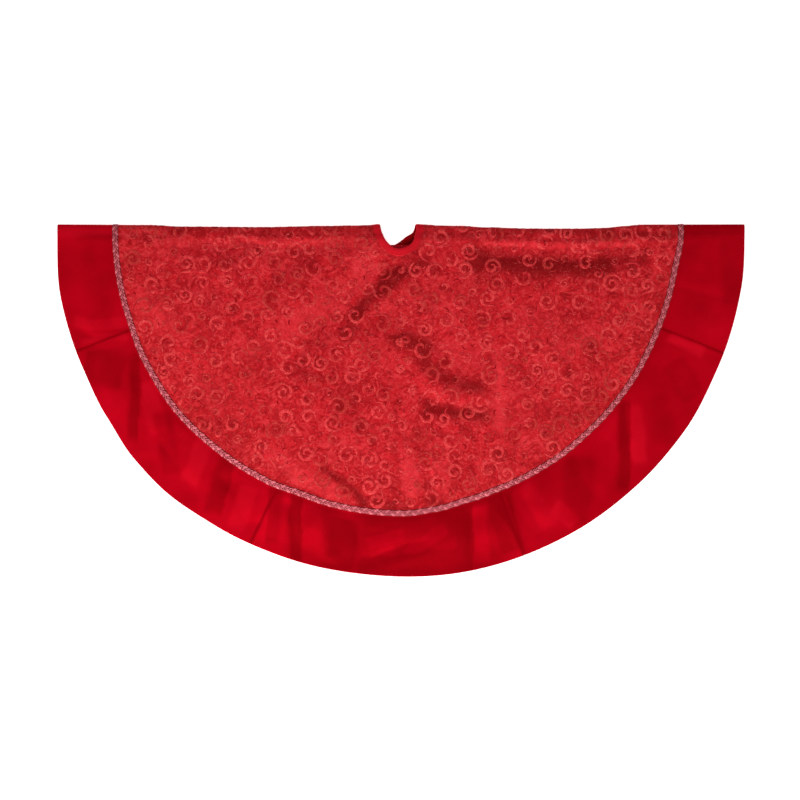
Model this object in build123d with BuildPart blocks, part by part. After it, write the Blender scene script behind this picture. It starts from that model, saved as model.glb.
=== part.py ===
from build123d import *
import os
from math import cos, sin, radians

# A round tree skirt, 48 in across, lying folded in half along its diameter.
#
# Frame: +X runs along the fold, +Z is up, and the origin is the centre of the
# trunk hole on the fold line, at floor level.  The front half is the upper
# layer, right side up.  The back is cut by a slit from the trunk hole to the
# rim, so it is two quarter wings.  They lie face down under the front half and
# turn about the fold line until all three pieces make one flat disc.

os.makedirs("parts", exist_ok=True)

# ---------------------------------------------------------------- dimensions
skirt_radius = 609.6        # half of 48 in
hole_radius = 30.0          # trunk hole, inside the neck binding
neck_binding_width = 12.0   # satin tape folded over the edge of the hole
border_width = 104.0        # satin border, braid to rim
braid_width = 13.0          # metallic braid laid over the border seam

outer_cloth = 0.9           # printed velvet panel and satin border
lining_cloth = 0.5          # lining, slit facings
rim_turning = 3.0           # satin turned under round the edge of the lining
folded_height = 6.0         # whole height of the folded skirt
fold_clear = 0.3            # each layer stops this far short of the fold line

slit_gap = 6.0              # between the two wings, closures undone
facing_width = 25.0         # tape along each side of the slit

pad_width = 20.0            # hook and loop pads
pad_length = 40.0
pad_inset = 6.0             # from the middle of the slit to the pad's edge
pad_reach = (75.0, 300.0, 560.0)   # from the hole's centre to each pad's middle
hook_pad_height = 1.0
loop_pad_height = 0.6

# Border seams, degrees round from the right end of the fold line.
front_seams = (21.5, 69.5, 115.5, 159.0)
back_seams = (23.5, 68.5, 111.5, 156.0)

# ------------------------------------------------------------ derived sizes
panel_inner = hole_radius + neck_binding_width
border_inner = skirt_radius - border_width
panel_outer = border_inner - braid_width
lining_outer = skirt_radius - rim_turning
cloth = outer_cloth + lining_cloth
front_top = folded_height
front_under = folded_height - cloth          # underside of the front lining
front_face = folded_height - outer_cloth     # between front lining and outer cloth
half_slit = slit_gap / 2
big = 3 * skirt_radius

LEFT, RIGHT = -1, 1


# ------------------------------------------------- outlines for the sketches
def ring(inner, outer):
    """A full ring, centred on the trunk hole."""
    Circle(outer)
    Circle(inner, mode=Mode.SUBTRACT)


def below_fold():
    """Keeps what lies on the folded side of the fold line."""
    with Locations((0, -fold_clear)):
        Rectangle(big, big, align=(Align.CENTER, Align.MAX), mode=Mode.INTERSECT)


def beside_slit(side, start=half_slit):
    """Keeps one wing, from a distance beside the middle of the slit."""
    align_x = Align.MIN if side == RIGHT else Align.MAX
    with Locations((side * start, 0)):
        Rectangle(big, big, align=(align_x, Align.CENTER), mode=Mode.INTERSECT)


def between_seams(start, end):
    """Keeps the wedge between two seams, angles measured down from the fold."""
    far = 2 * skirt_radius
    corners = [(0, 0)]
    for angle in (start, (start + end) / 2, end):
        corners.append((far * cos(radians(angle)), -far * sin(radians(angle))))
    Polygon(*corners, align=None, mode=Mode.INTERSECT)


def slit_pads(side):
    """The three pads down one side of the slit."""
    where = [(side * (pad_inset + pad_width / 2), -reach) for reach in pad_reach]
    with Locations(*where):
        Rectangle(pad_width, pad_length)


# =============================================================== front half
# Printed velvet panel, from the neck binding out to the braid.
with BuildPart() as front_panel:
    with BuildSketch(Plane.XY.offset(front_face)):
        ring(panel_inner, panel_outer)
        below_fold()
    extrude(amount=outer_cloth)
front_panel.part.label = "front_panel"
export_step(front_panel.part, "parts/front_panel.step")

# Lining under the whole front half, inside the turned rim.
with BuildPart() as front_lining:
    with BuildSketch(Plane.XY.offset(front_under)):
        ring(panel_inner, lining_outer)
        below_fold()
    extrude(amount=lining_cloth)
front_lining.part.label = "front_lining"
export_step(front_lining.part, "parts/front_lining.step")

# Metallic braid, sewn down over the seam between panel and border.
with BuildPart() as front_braid:
    with BuildSketch(Plane.XY.offset(front_face)):
        ring(panel_outer, border_inner)
        below_fold()
    extrude(amount=outer_cloth)
front_braid.part.label = "front_braid"
export_step(front_braid.part, "parts/front_braid.step")

# Satin tape that binds the edge of the trunk hole, over both cloths.
with BuildPart() as front_neck_binding:
    with BuildSketch(Plane.XY.offset(front_under)):
        ring(hole_radius, panel_inner)
        below_fold()
    extrude(amount=cloth)
front_neck_binding.part.label = "front_neck_binding"
export_step(front_neck_binding.part, "parts/front_neck_binding.step")


# Satin border, one length between each two seams; its rim is turned under
# round the edge of the lining.  The two end lengths run on over the fold.
with BuildPart() as front_border_right_end:
    with BuildSketch(Plane.XY.offset(front_face)):
        ring(border_inner, skirt_radius)
        below_fold()
        between_seams(-5, front_seams[0])
    extrude(amount=outer_cloth)
    with BuildSketch(Plane.XY.offset(front_under)):
        ring(lining_outer, skirt_radius)
        below_fold()
        between_seams(-5, front_seams[0])
    extrude(amount=cloth)
front_border_right_end.part.label = "front_border_right_end"
export_step(front_border_right_end.part, "parts/front_border_right_end.step")

with BuildPart() as front_border_right:
    with BuildSketch(Plane.XY.offset(front_face)):
        ring(border_inner, skirt_radius)
        between_seams(front_seams[0], front_seams[1])
    extrude(amount=outer_cloth)
    with BuildSketch(Plane.XY.offset(front_under)):
        ring(lining_outer, skirt_radius)
        between_seams(front_seams[0], front_seams[1])
    extrude(amount=cloth)
front_border_right.part.label = "front_border_right"
export_step(front_border_right.part, "parts/front_border_right.step")

with BuildPart() as front_border_centre:
    with BuildSketch(Plane.XY.offset(front_face)):
        ring(border_inner, skirt_radius)
        between_seams(front_seams[1], front_seams[2])
    extrude(amount=outer_cloth)
    with BuildSketch(Plane.XY.offset(front_under)):
        ring(lining_outer, skirt_radius)
        between_seams(front_seams[1], front_seams[2])
    extrude(amount=cloth)
front_border_centre.part.label = "front_border_centre"
export_step(front_border_centre.part, "parts/front_border_centre.step")

with BuildPart() as front_border_left:
    with BuildSketch(Plane.XY.offset(front_face)):
        ring(border_inner, skirt_radius)
        between_seams(front_seams[2], front_seams[3])
    extrude(amount=outer_cloth)
    with BuildSketch(Plane.XY.offset(front_under)):
        ring(lining_outer, skirt_radius)
        between_seams(front_seams[2], front_seams[3])
    extrude(amount=cloth)
front_border_left.part.label = "front_border_left"
export_step(front_border_left.part, "parts/front_border_left.step")

with BuildPart() as front_border_left_end:
    with BuildSketch(Plane.XY.offset(front_face)):
        ring(border_inner, skirt_radius)
        below_fold()
        between_seams(front_seams[3], 185)
    extrude(amount=outer_cloth)
    with BuildSketch(Plane.XY.offset(front_under)):
        ring(lining_outer, skirt_radius)
        below_fold()
        between_seams(front_seams[3], 185)
    extrude(amount=cloth)
front_border_left_end.part.label = "front_border_left_end"
export_step(front_border_left_end.part, "parts/front_border_left_end.step")


# ================================================================ left wing
# The wings lie face down: outer cloth from the floor up, lining above it.
with BuildPart() as left_panel:
    with BuildSketch():
        ring(panel_inner, panel_outer)
        below_fold()
        beside_slit(LEFT)
    extrude(amount=outer_cloth)
left_panel.part.label = "left_panel"
export_step(left_panel.part, "parts/left_panel.step")

with BuildPart() as left_lining:
    with BuildSketch(Plane.XY.offset(outer_cloth)):
        ring(panel_inner, lining_outer)
        below_fold()
        beside_slit(LEFT, half_slit + facing_width)
    extrude(amount=lining_cloth)
left_lining.part.label = "left_lining"
export_step(left_lining.part, "parts/left_lining.step")

with BuildPart() as left_braid:
    with BuildSketch():
        ring(panel_outer, border_inner)
        below_fold()
        beside_slit(LEFT)
    extrude(amount=outer_cloth)
left_braid.part.label = "left_braid"
export_step(left_braid.part, "parts/left_braid.step")

with BuildPart() as left_neck_binding:
    with BuildSketch():
        ring(hole_radius, panel_inner)
        below_fold()
        beside_slit(LEFT)
    extrude(amount=cloth)
left_neck_binding.part.label = "left_neck_binding"
export_step(left_neck_binding.part, "parts/left_neck_binding.step")

# Tape along the slit, on the lining side, from the neck to the turned rim.
with BuildPart() as left_slit_facing:
    with BuildSketch(Plane.XY.offset(outer_cloth)):
        ring(panel_inner, lining_outer)
        below_fold()
        beside_slit(LEFT)
        with Locations((-half_slit, 0)):
            Rectangle(facing_width, big, align=(Align.MAX, Align.CENTER), mode=Mode.INTERSECT)
    extrude(amount=lining_cloth)
left_slit_facing.part.label = "left_slit_facing"
export_step(left_slit_facing.part, "parts/left_slit_facing.step")

with BuildPart() as left_border_fold_end:
    with BuildSketch():
        ring(border_inner, skirt_radius)
        below_fold()
        between_seams(back_seams[3], 185)
    extrude(amount=outer_cloth)
    with BuildSketch():
        ring(lining_outer, skirt_radius)
        below_fold()
        between_seams(back_seams[3], 185)
    extrude(amount=cloth)
left_border_fold_end.part.label = "left_border_fold_end"
export_step(left_border_fold_end.part, "parts/left_border_fold_end.step")

with BuildPart() as left_border_middle:
    with BuildSketch():
        ring(border_inner, skirt_radius)
        between_seams(back_seams[2], back_seams[3])
    extrude(amount=outer_cloth)
    with BuildSketch():
        ring(lining_outer, skirt_radius)
        between_seams(back_seams[2], back_seams[3])
    extrude(amount=cloth)
left_border_middle.part.label = "left_border_middle"
export_step(left_border_middle.part, "parts/left_border_middle.step")

with BuildPart() as left_border_slit_end:
    with BuildSketch():
        ring(border_inner, skirt_radius)
        between_seams(80, back_seams[2])
        beside_slit(LEFT)
    extrude(amount=outer_cloth)
    with BuildSketch():
        ring(lining_outer, skirt_radius)
        between_seams(80, back_seams[2])
        beside_slit(LEFT)
    extrude(amount=cloth)
left_border_slit_end.part.label = "left_border_slit_end"
export_step(left_border_slit_end.part, "parts/left_border_slit_end.step")

# Three hook pads sewn to the facing.
with BuildPart() as hook_pads:
    with BuildSketch(Plane.XY.offset(cloth)):
        slit_pads(LEFT)
    extrude(amount=hook_pad_height)
hook_pads.part.label = "hook_pads"
export_step(hook_pads.part, "parts/hook_pads.step")


# =============================================================== right wing
# The loop pads press into the face of this wing, so it has a shallow pocket
# under each of them.
with BuildPart() as right_panel:
    with BuildSketch():
        ring(panel_inner, panel_outer)
        below_fold()
        beside_slit(RIGHT)
    extrude(amount=outer_cloth)
    with BuildSketch():
        slit_pads(RIGHT)
    extrude(amount=loop_pad_height, mode=Mode.SUBTRACT)
right_panel.part.label = "right_panel"
export_step(right_panel.part, "parts/right_panel.step")

with BuildPart() as right_lining:
    with BuildSketch(Plane.XY.offset(outer_cloth)):
        ring(panel_inner, lining_outer)
        below_fold()
        beside_slit(RIGHT, half_slit + facing_width)
    extrude(amount=lining_cloth)
right_lining.part.label = "right_lining"
export_step(right_lining.part, "parts/right_lining.step")

with BuildPart() as right_braid:
    with BuildSketch():
        ring(panel_outer, border_inner)
        below_fold()
        beside_slit(RIGHT)
    extrude(amount=outer_cloth)
right_braid.part.label = "right_braid"
export_step(right_braid.part, "parts/right_braid.step")

with BuildPart() as right_neck_binding:
    with BuildSketch():
        ring(hole_radius, panel_inner)
        below_fold()
        beside_slit(RIGHT)
    extrude(amount=cloth)
right_neck_binding.part.label = "right_neck_binding"
export_step(right_neck_binding.part, "parts/right_neck_binding.step")

with BuildPart() as right_slit_facing:
    with BuildSketch(Plane.XY.offset(outer_cloth)):
        ring(panel_inner, lining_outer)
        below_fold()
        beside_slit(RIGHT)
        with Locations((half_slit, 0)):
            Rectangle(facing_width, big, align=(Align.MIN, Align.CENTER), mode=Mode.INTERSECT)
    extrude(amount=lining_cloth)
right_slit_facing.part.label = "right_slit_facing"
export_step(right_slit_facing.part, "parts/right_slit_facing.step")

with BuildPart() as right_border_fold_end:
    with BuildSketch():
        ring(border_inner, skirt_radius)
        below_fold()
        between_seams(-5, back_seams[0])
    extrude(amount=outer_cloth)
    with BuildSketch():
        ring(lining_outer, skirt_radius)
        below_fold()
        between_seams(-5, back_seams[0])
    extrude(amount=cloth)
right_border_fold_end.part.label = "right_border_fold_end"
export_step(right_border_fold_end.part, "parts/right_border_fold_end.step")

with BuildPart() as right_border_middle:
    with BuildSketch():
        ring(border_inner, skirt_radius)
        between_seams(back_seams[0], back_seams[1])
    extrude(amount=outer_cloth)
    with BuildSketch():
        ring(lining_outer, skirt_radius)
        between_seams(back_seams[0], back_seams[1])
    extrude(amount=cloth)
right_border_middle.part.label = "right_border_middle"
export_step(right_border_middle.part, "parts/right_border_middle.step")

with BuildPart() as right_border_slit_end:
    with BuildSketch():
        ring(border_inner, skirt_radius)
        between_seams(back_seams[1], 100)
        beside_slit(RIGHT)
    extrude(amount=outer_cloth)
    with BuildSketch():
        ring(lining_outer, skirt_radius)
        between_seams(back_seams[1], 100)
        beside_slit(RIGHT)
    extrude(amount=cloth)
    with BuildSketch():
        slit_pads(RIGHT)
    extrude(amount=loop_pad_height, mode=Mode.SUBTRACT)
right_border_slit_end.part.label = "right_border_slit_end"
export_step(right_border_slit_end.part, "parts/right_border_slit_end.step")

# Three loop pads, flush in the face of the wing.
with BuildPart() as loop_pads:
    with BuildSketch():
        slit_pads(RIGHT)
    extrude(amount=loop_pad_height)
loop_pads.part.label = "loop_pads"
export_step(loop_pads.part, "parts/loop_pads.step")
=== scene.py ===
import math

import bpy
import mathutils
import numpy as np
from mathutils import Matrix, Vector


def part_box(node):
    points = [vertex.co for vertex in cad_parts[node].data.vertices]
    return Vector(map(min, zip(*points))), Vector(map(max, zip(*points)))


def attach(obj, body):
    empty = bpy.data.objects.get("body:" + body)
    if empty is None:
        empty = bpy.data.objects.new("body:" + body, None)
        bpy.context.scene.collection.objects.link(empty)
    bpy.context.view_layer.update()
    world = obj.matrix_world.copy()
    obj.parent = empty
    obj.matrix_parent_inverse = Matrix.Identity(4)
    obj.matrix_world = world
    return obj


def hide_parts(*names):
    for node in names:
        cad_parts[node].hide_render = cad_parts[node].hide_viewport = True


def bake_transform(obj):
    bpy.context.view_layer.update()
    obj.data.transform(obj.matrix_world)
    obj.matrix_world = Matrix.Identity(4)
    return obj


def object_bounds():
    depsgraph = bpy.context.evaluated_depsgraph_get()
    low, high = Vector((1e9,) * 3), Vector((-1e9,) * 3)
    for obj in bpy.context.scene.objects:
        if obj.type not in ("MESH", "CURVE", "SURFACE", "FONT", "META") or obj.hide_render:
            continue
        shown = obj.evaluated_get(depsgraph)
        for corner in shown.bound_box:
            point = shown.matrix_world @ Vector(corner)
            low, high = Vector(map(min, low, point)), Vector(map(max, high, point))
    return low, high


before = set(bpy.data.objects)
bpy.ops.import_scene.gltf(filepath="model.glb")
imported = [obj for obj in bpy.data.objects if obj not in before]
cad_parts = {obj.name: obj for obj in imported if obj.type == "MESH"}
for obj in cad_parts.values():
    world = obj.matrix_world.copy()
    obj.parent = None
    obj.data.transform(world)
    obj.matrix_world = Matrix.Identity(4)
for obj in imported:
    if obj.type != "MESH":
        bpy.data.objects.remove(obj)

CAD_BOX = [list(v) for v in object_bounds()]

# --------------------------------------------------------------------------
# Sizes, in millimetres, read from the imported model
# --------------------------------------------------------------------------
R_RIM = -CAD_BOX[0][0] * 1000                          # 609.6
R_BRAID_OUT = -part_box("front_braid")[0][0] * 1000
R_BRAID_IN = -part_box("front_panel")[0][0] * 1000
R_NECK = -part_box("front_neck_binding")[0][1] * 1000    # outside of the neck binding
R_HOLE = R_NECK - 12.0
Z_FOLD = 3.0                                           # height of the fold's axis
HALF_SLIT = 0.003                                       # the slit's edges lie side by side
REACH = 14.0                                           # how far the fold's roll reaches in
CLOTH = 0.9                                            # outer cloth
FRONT_SEAMS = (21.5, 69.5, 115.5, 159.0)               # degrees from the right end of the fold
BACK_SEAMS = (23.5, 68.5, 111.5, 156.0)
LEFT, RIGHT = -1, 1


def smooth(t):
    t = np.clip(t, 0.0, 1.0)
    return t * t * (3 - 2 * t)


def table(keys, values, x, soft=False):
    """Values at x from a short table, eased between keys."""
    keys, values = np.asarray(keys, float), np.asarray(values, float)
    x = np.clip(np.asarray(x, float), keys[0], keys[-1])
    i = np.clip(np.searchsorted(keys, x, side="right") - 1, 0, len(keys) - 2)
    t = (x - keys[i]) / (keys[i + 1] - keys[i])
    if soft:
        t = smooth(t)
    return values[i] * (1 - t) + values[i + 1] * t


class Noise:
    """Seeded gradient noise in the plane, about -0.7 to 0.7."""

    def __init__(self, seed, n=97):
        a = np.random.default_rng(seed).uniform(0, 2 * np.pi, (n, n))
        self.g, self.n = np.stack([np.cos(a), np.sin(a)], -1), n

    def __call__(self, x, y, size):
        x, y = np.asarray(x, float) / size + 500.0, np.asarray(y, float) / size + 500.0
        i, j = np.floor(x).astype(int), np.floor(y).astype(int)
        fx, fy = x - i, y - j
        u, v = fx**3 * (fx * (fx * 6 - 15) + 10), fy**3 * (fy * (fy * 6 - 15) + 10)

        def dot(di, dj):
            g = self.g[(i + di) % self.n, (j + dj) % self.n]
            return g[..., 0] * (fx - di) + g[..., 1] * (fy - dj)

        low = dot(0, 0) * (1 - u) + dot(1, 0) * u
        high = dot(0, 1) * (1 - u) + dot(1, 1) * u
        return low * (1 - v) + high * v


# --------------------------------------------------------------------------
# The lie of the cloth.  Folds are strokes: kind, points, width on the left
# and right of the stroke, height, and how far they fade in and out.
# --------------------------------------------------------------------------
PANEL_FOLDS = [
    ("g", [(114, -37), (174, -41), (245, -44), (316, -46), (386, -41), (443, -30)], 8, 17, 7.0, (0.15, 0.2)),
    ("g", [(135, -18), (245, -21), (372, -18)], 4, 5, 1.6, (0.3, 0.3)),
    ("g", [(121, -5), (227, -12), (333, -12), (395, -5)], 5, 5, -1.2, (0.2, 0.2)),
    ("g", [(-418, -27), (-330, -32), (-220, -34), (-118, -30), (-45, -25)], 7, 14, 3.4, (0.2, 0.2)),
    ("g", [(-427, -11), (-250, -14), (-52, -12)], 4, 5, -1.3, (0.2, 0.2)),
    ("g", [(-141, -223), (-116, -166), (-73, -115), (-29, -78), (19, -50)], 26, 11, 6.5, (0.25, 0.3)),
    ("g", [(-91, -198), (-52, -145), (-6, -108), (34, -80)], 10, 9, -2.4, (0.25, 0.3)),
    ("g", [(-3, -193), (19, -214)], 6, 6, -2.6, (0.3, 0.3)),
    ("g", [(19, -283), (68, -315), (118, -322), (167, -316)], 8, 13, 3.8, (0.3, 0.3)),
    ("g", [(40, -279), (89, -299), (146, -301)], 8, 8, -1.3, (0.3, 0.3)),
    ("g", [(40, -262), (86, -285), (151, -293)], 8, 8, -2.2, (0.25, 0.25)),
    ("g", [(42, -352), (95, -366), (156, -361)], 12, 9, 1.8, (0.3, 0.3)),
    ("c", [(123, -21), (125, -78), (126, -134)], 6, 9, 2.0, (0.2, 0.4)),
    ("c", [(169, -175), (171, -272), (171, -382)], 8, 12, 2.6, (0.3, 0.3)),
    ("c", [(-4, -316), (-3, -396), (-1, -506)], 7, 9, 2.2, (0.3, 0.15)),
    ("c", [(-172, -184), (-171, -219), (-171, -255)], 6, 10, 2.4, (0.3, 0.3)),
    ("c", [(294, -131), (301, -237), (305, -343)], 14, 10, 1.6, (0.4, 0.4)),
    ("c", [(-300, -131), (-293, -237), (-289, -361)], 12, 16, 1.8, (0.4, 0.4)),
    ("g", [(-141, -417), (-100, -454), (-52, -499)], 9, 7, 3.0, (0.3, 0.2)),
    ("g", [(-118, -431), (-88, -463), (-63, -493)], 5, 6, -1.6, (0.3, 0.2)),
    ("c", [(42, -417), (54, -449), (68, -497)], 7, 7, 2.2, (0.3, 0.15)),
    ("c", [(121, -405), (135, -440), (146, -477)], 9, 7, 2.0, (0.3, 0.2)),
    ("g", [(-365, -51), (-312, -81), (-268, -131)], 16, 12, -2.0, (0.4, 0.4)),
    ("g", [(-218, -131), (-194, -103), (-164, -64)], 10, 8, -2.0, (0.3, 0.3)),
    ("g", [(-247, -117), (-215, -81), (-187, -53)], 12, 9, 2.4, (0.3, 0.3)),
    ("g", [(-392, -184), (-330, -272), (-259, -361)], 26, 20, 2.6, (0.4, 0.4)),
    ("g", [(-445, -131), (-409, -219), (-356, -308)], 16, 14, 1.8, (0.4, 0.4)),
    ("g", [(210, -184), (280, -131), (369, -113)], 20, 18, 2.2, (0.4, 0.4)),
    ("g", [(245, -361), (316, -308), (386, -219)], 22, 18, 2.4, (0.4, 0.4)),
    ("g", [(351, -184), (422, -131), (471, -64)], 14, 12, 2.2, (0.4, 0.3)),
    ("g", [(-126, -308), (-56, -343), (-20, -414)], 18, 14, 2.2, (0.4, 0.4)),
    ("g", [(-268, -396), (-215, -343), (-179, -281)], 14, 14, 1.8, (0.4, 0.4)),
]

BORDER_FOLDS = [
    ("c", [(-549, 9), (-547, -11), (-542, -64), (-547, -131), (-548, -147)], 18, 21, 2.6, (0.3, 0.3)),
    ("c", [(-605, -180), (-586, -184), (-537, -194), (-484, -177), (-468, -172)], 14, 9, 3.0, (0.25, 0.18)),
    ("c", [(-577, -225), (-558, -223), (-526, -219), (-485, -210), (-470, -207)], 15, 10, 3.2, (0.25, 0.18)),
    ("g", [(-556, -245), (-542, -258), (-512, -286), (-494, -311), (-485, -324)], 20, 21, -2.4, (0.3, 0.3)),
    ("c", [(-475, -221), (-473, -240), (-466, -308), (-461, -389), (-460, -405)], 26, 20, 5.4, (0.25, 0.18)),
    ("c", [(-442, -359), (-431, -375), (-399, -421), (-362, -477), (-353, -491)], 22, 18, 4.6, (0.25, 0.18)),
    ("g", [(-371, -392), (-363, -410), (-342, -460), (-332, -506), (-328, -521)], 12, 15, -2.0, (0.25, 0.2)),
    ("c", [(-329, -430), (-317, -446), (-289, -484), (-275, -534), (-271, -549)], 20, 15, 4.6, (0.25, 0.18)),
    ("c", [(-210, -466), (-204, -484), (-190, -527), (-185, -583), (-183, -599)], 18, 14, 5.2, (0.25, 0.18)),
    ("g", [(-159, -488), (-151, -506), (-133, -548), (-126, -591), (-124, -606)], 12, 12, -2.0, (0.25, 0.2)),
    ("c", [(-107, -490), (-98, -507), (-77, -548), (-70, -601), (-68, -617)], 20, 18, 3.6, (0.25, 0.18)),
    ("c", [(-87, -606), (-70, -598), (-29, -578), (15, -562), (50, -555), (66, -552)], 14, 18, 3.2, (0.25, 0.3)),
    ("g", [(-56, -614), (-38, -606), (6, -587), (47, -578), (62, -575)], 9, 10, -1.8, (0.25, 0.3)),
    ("c", [(120, -486), (121, -506), (123, -552), (125, -601), (125, -617)], 26, 10, 5.6, (0.25, 0.18)),
    ("c", [(164, -489), (174, -506), (195, -541), (217, -576), (225, -590)], 10, 14, -2.2, (0.25, 0.2)),
    ("c", [(200, -461), (210, -477), (231, -513), (254, -555), (261, -569)], 21, 14, 4.0, (0.25, 0.18)),
    ("g", [(255, -451), (266, -467), (291, -502), (310, -534), (319, -548)], 12, 14, -1.8, (0.25, 0.2)),
    ("c", [(297, -416), (309, -431), (333, -463), (358, -502), (367, -516)], 20, 16, 3.0, (0.25, 0.2)),
    ("c", [(398, -292), (399, -311), (400, -378), (399, -460), (398, -476)], 24, 15, 5.2, (0.25, 0.18)),
    ("g", [(436, -281), (443, -299), (461, -343), (471, -387), (475, -403)], 14, 14, -1.8, (0.25, 0.2)),
    ("c", [(463, -193), (471, -210), (492, -258), (517, -308), (524, -322)], 18, 18, 3.4, (0.25, 0.2)),
    ("c", [(453, -197), (471, -203), (517, -219), (563, -232), (578, -236)], 9, 15, 3.6, (0.25, 0.18)),
    ("g", [(468, -140), (485, -149), (528, -170), (570, -184), (585, -189)], 14, 15, -2.6, (0.25, 0.2)),
    ("c", [(459, -102), (478, -106), (528, -117), (590, -131), (605, -134)], 15, 14, 3.0, (0.25, 0.2)),
    ("c", [(524, 9), (528, -11), (535, -51), (531, -99), (530, -115)], 20, 18, 2.6, (0.3, 0.3)),
]

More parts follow.
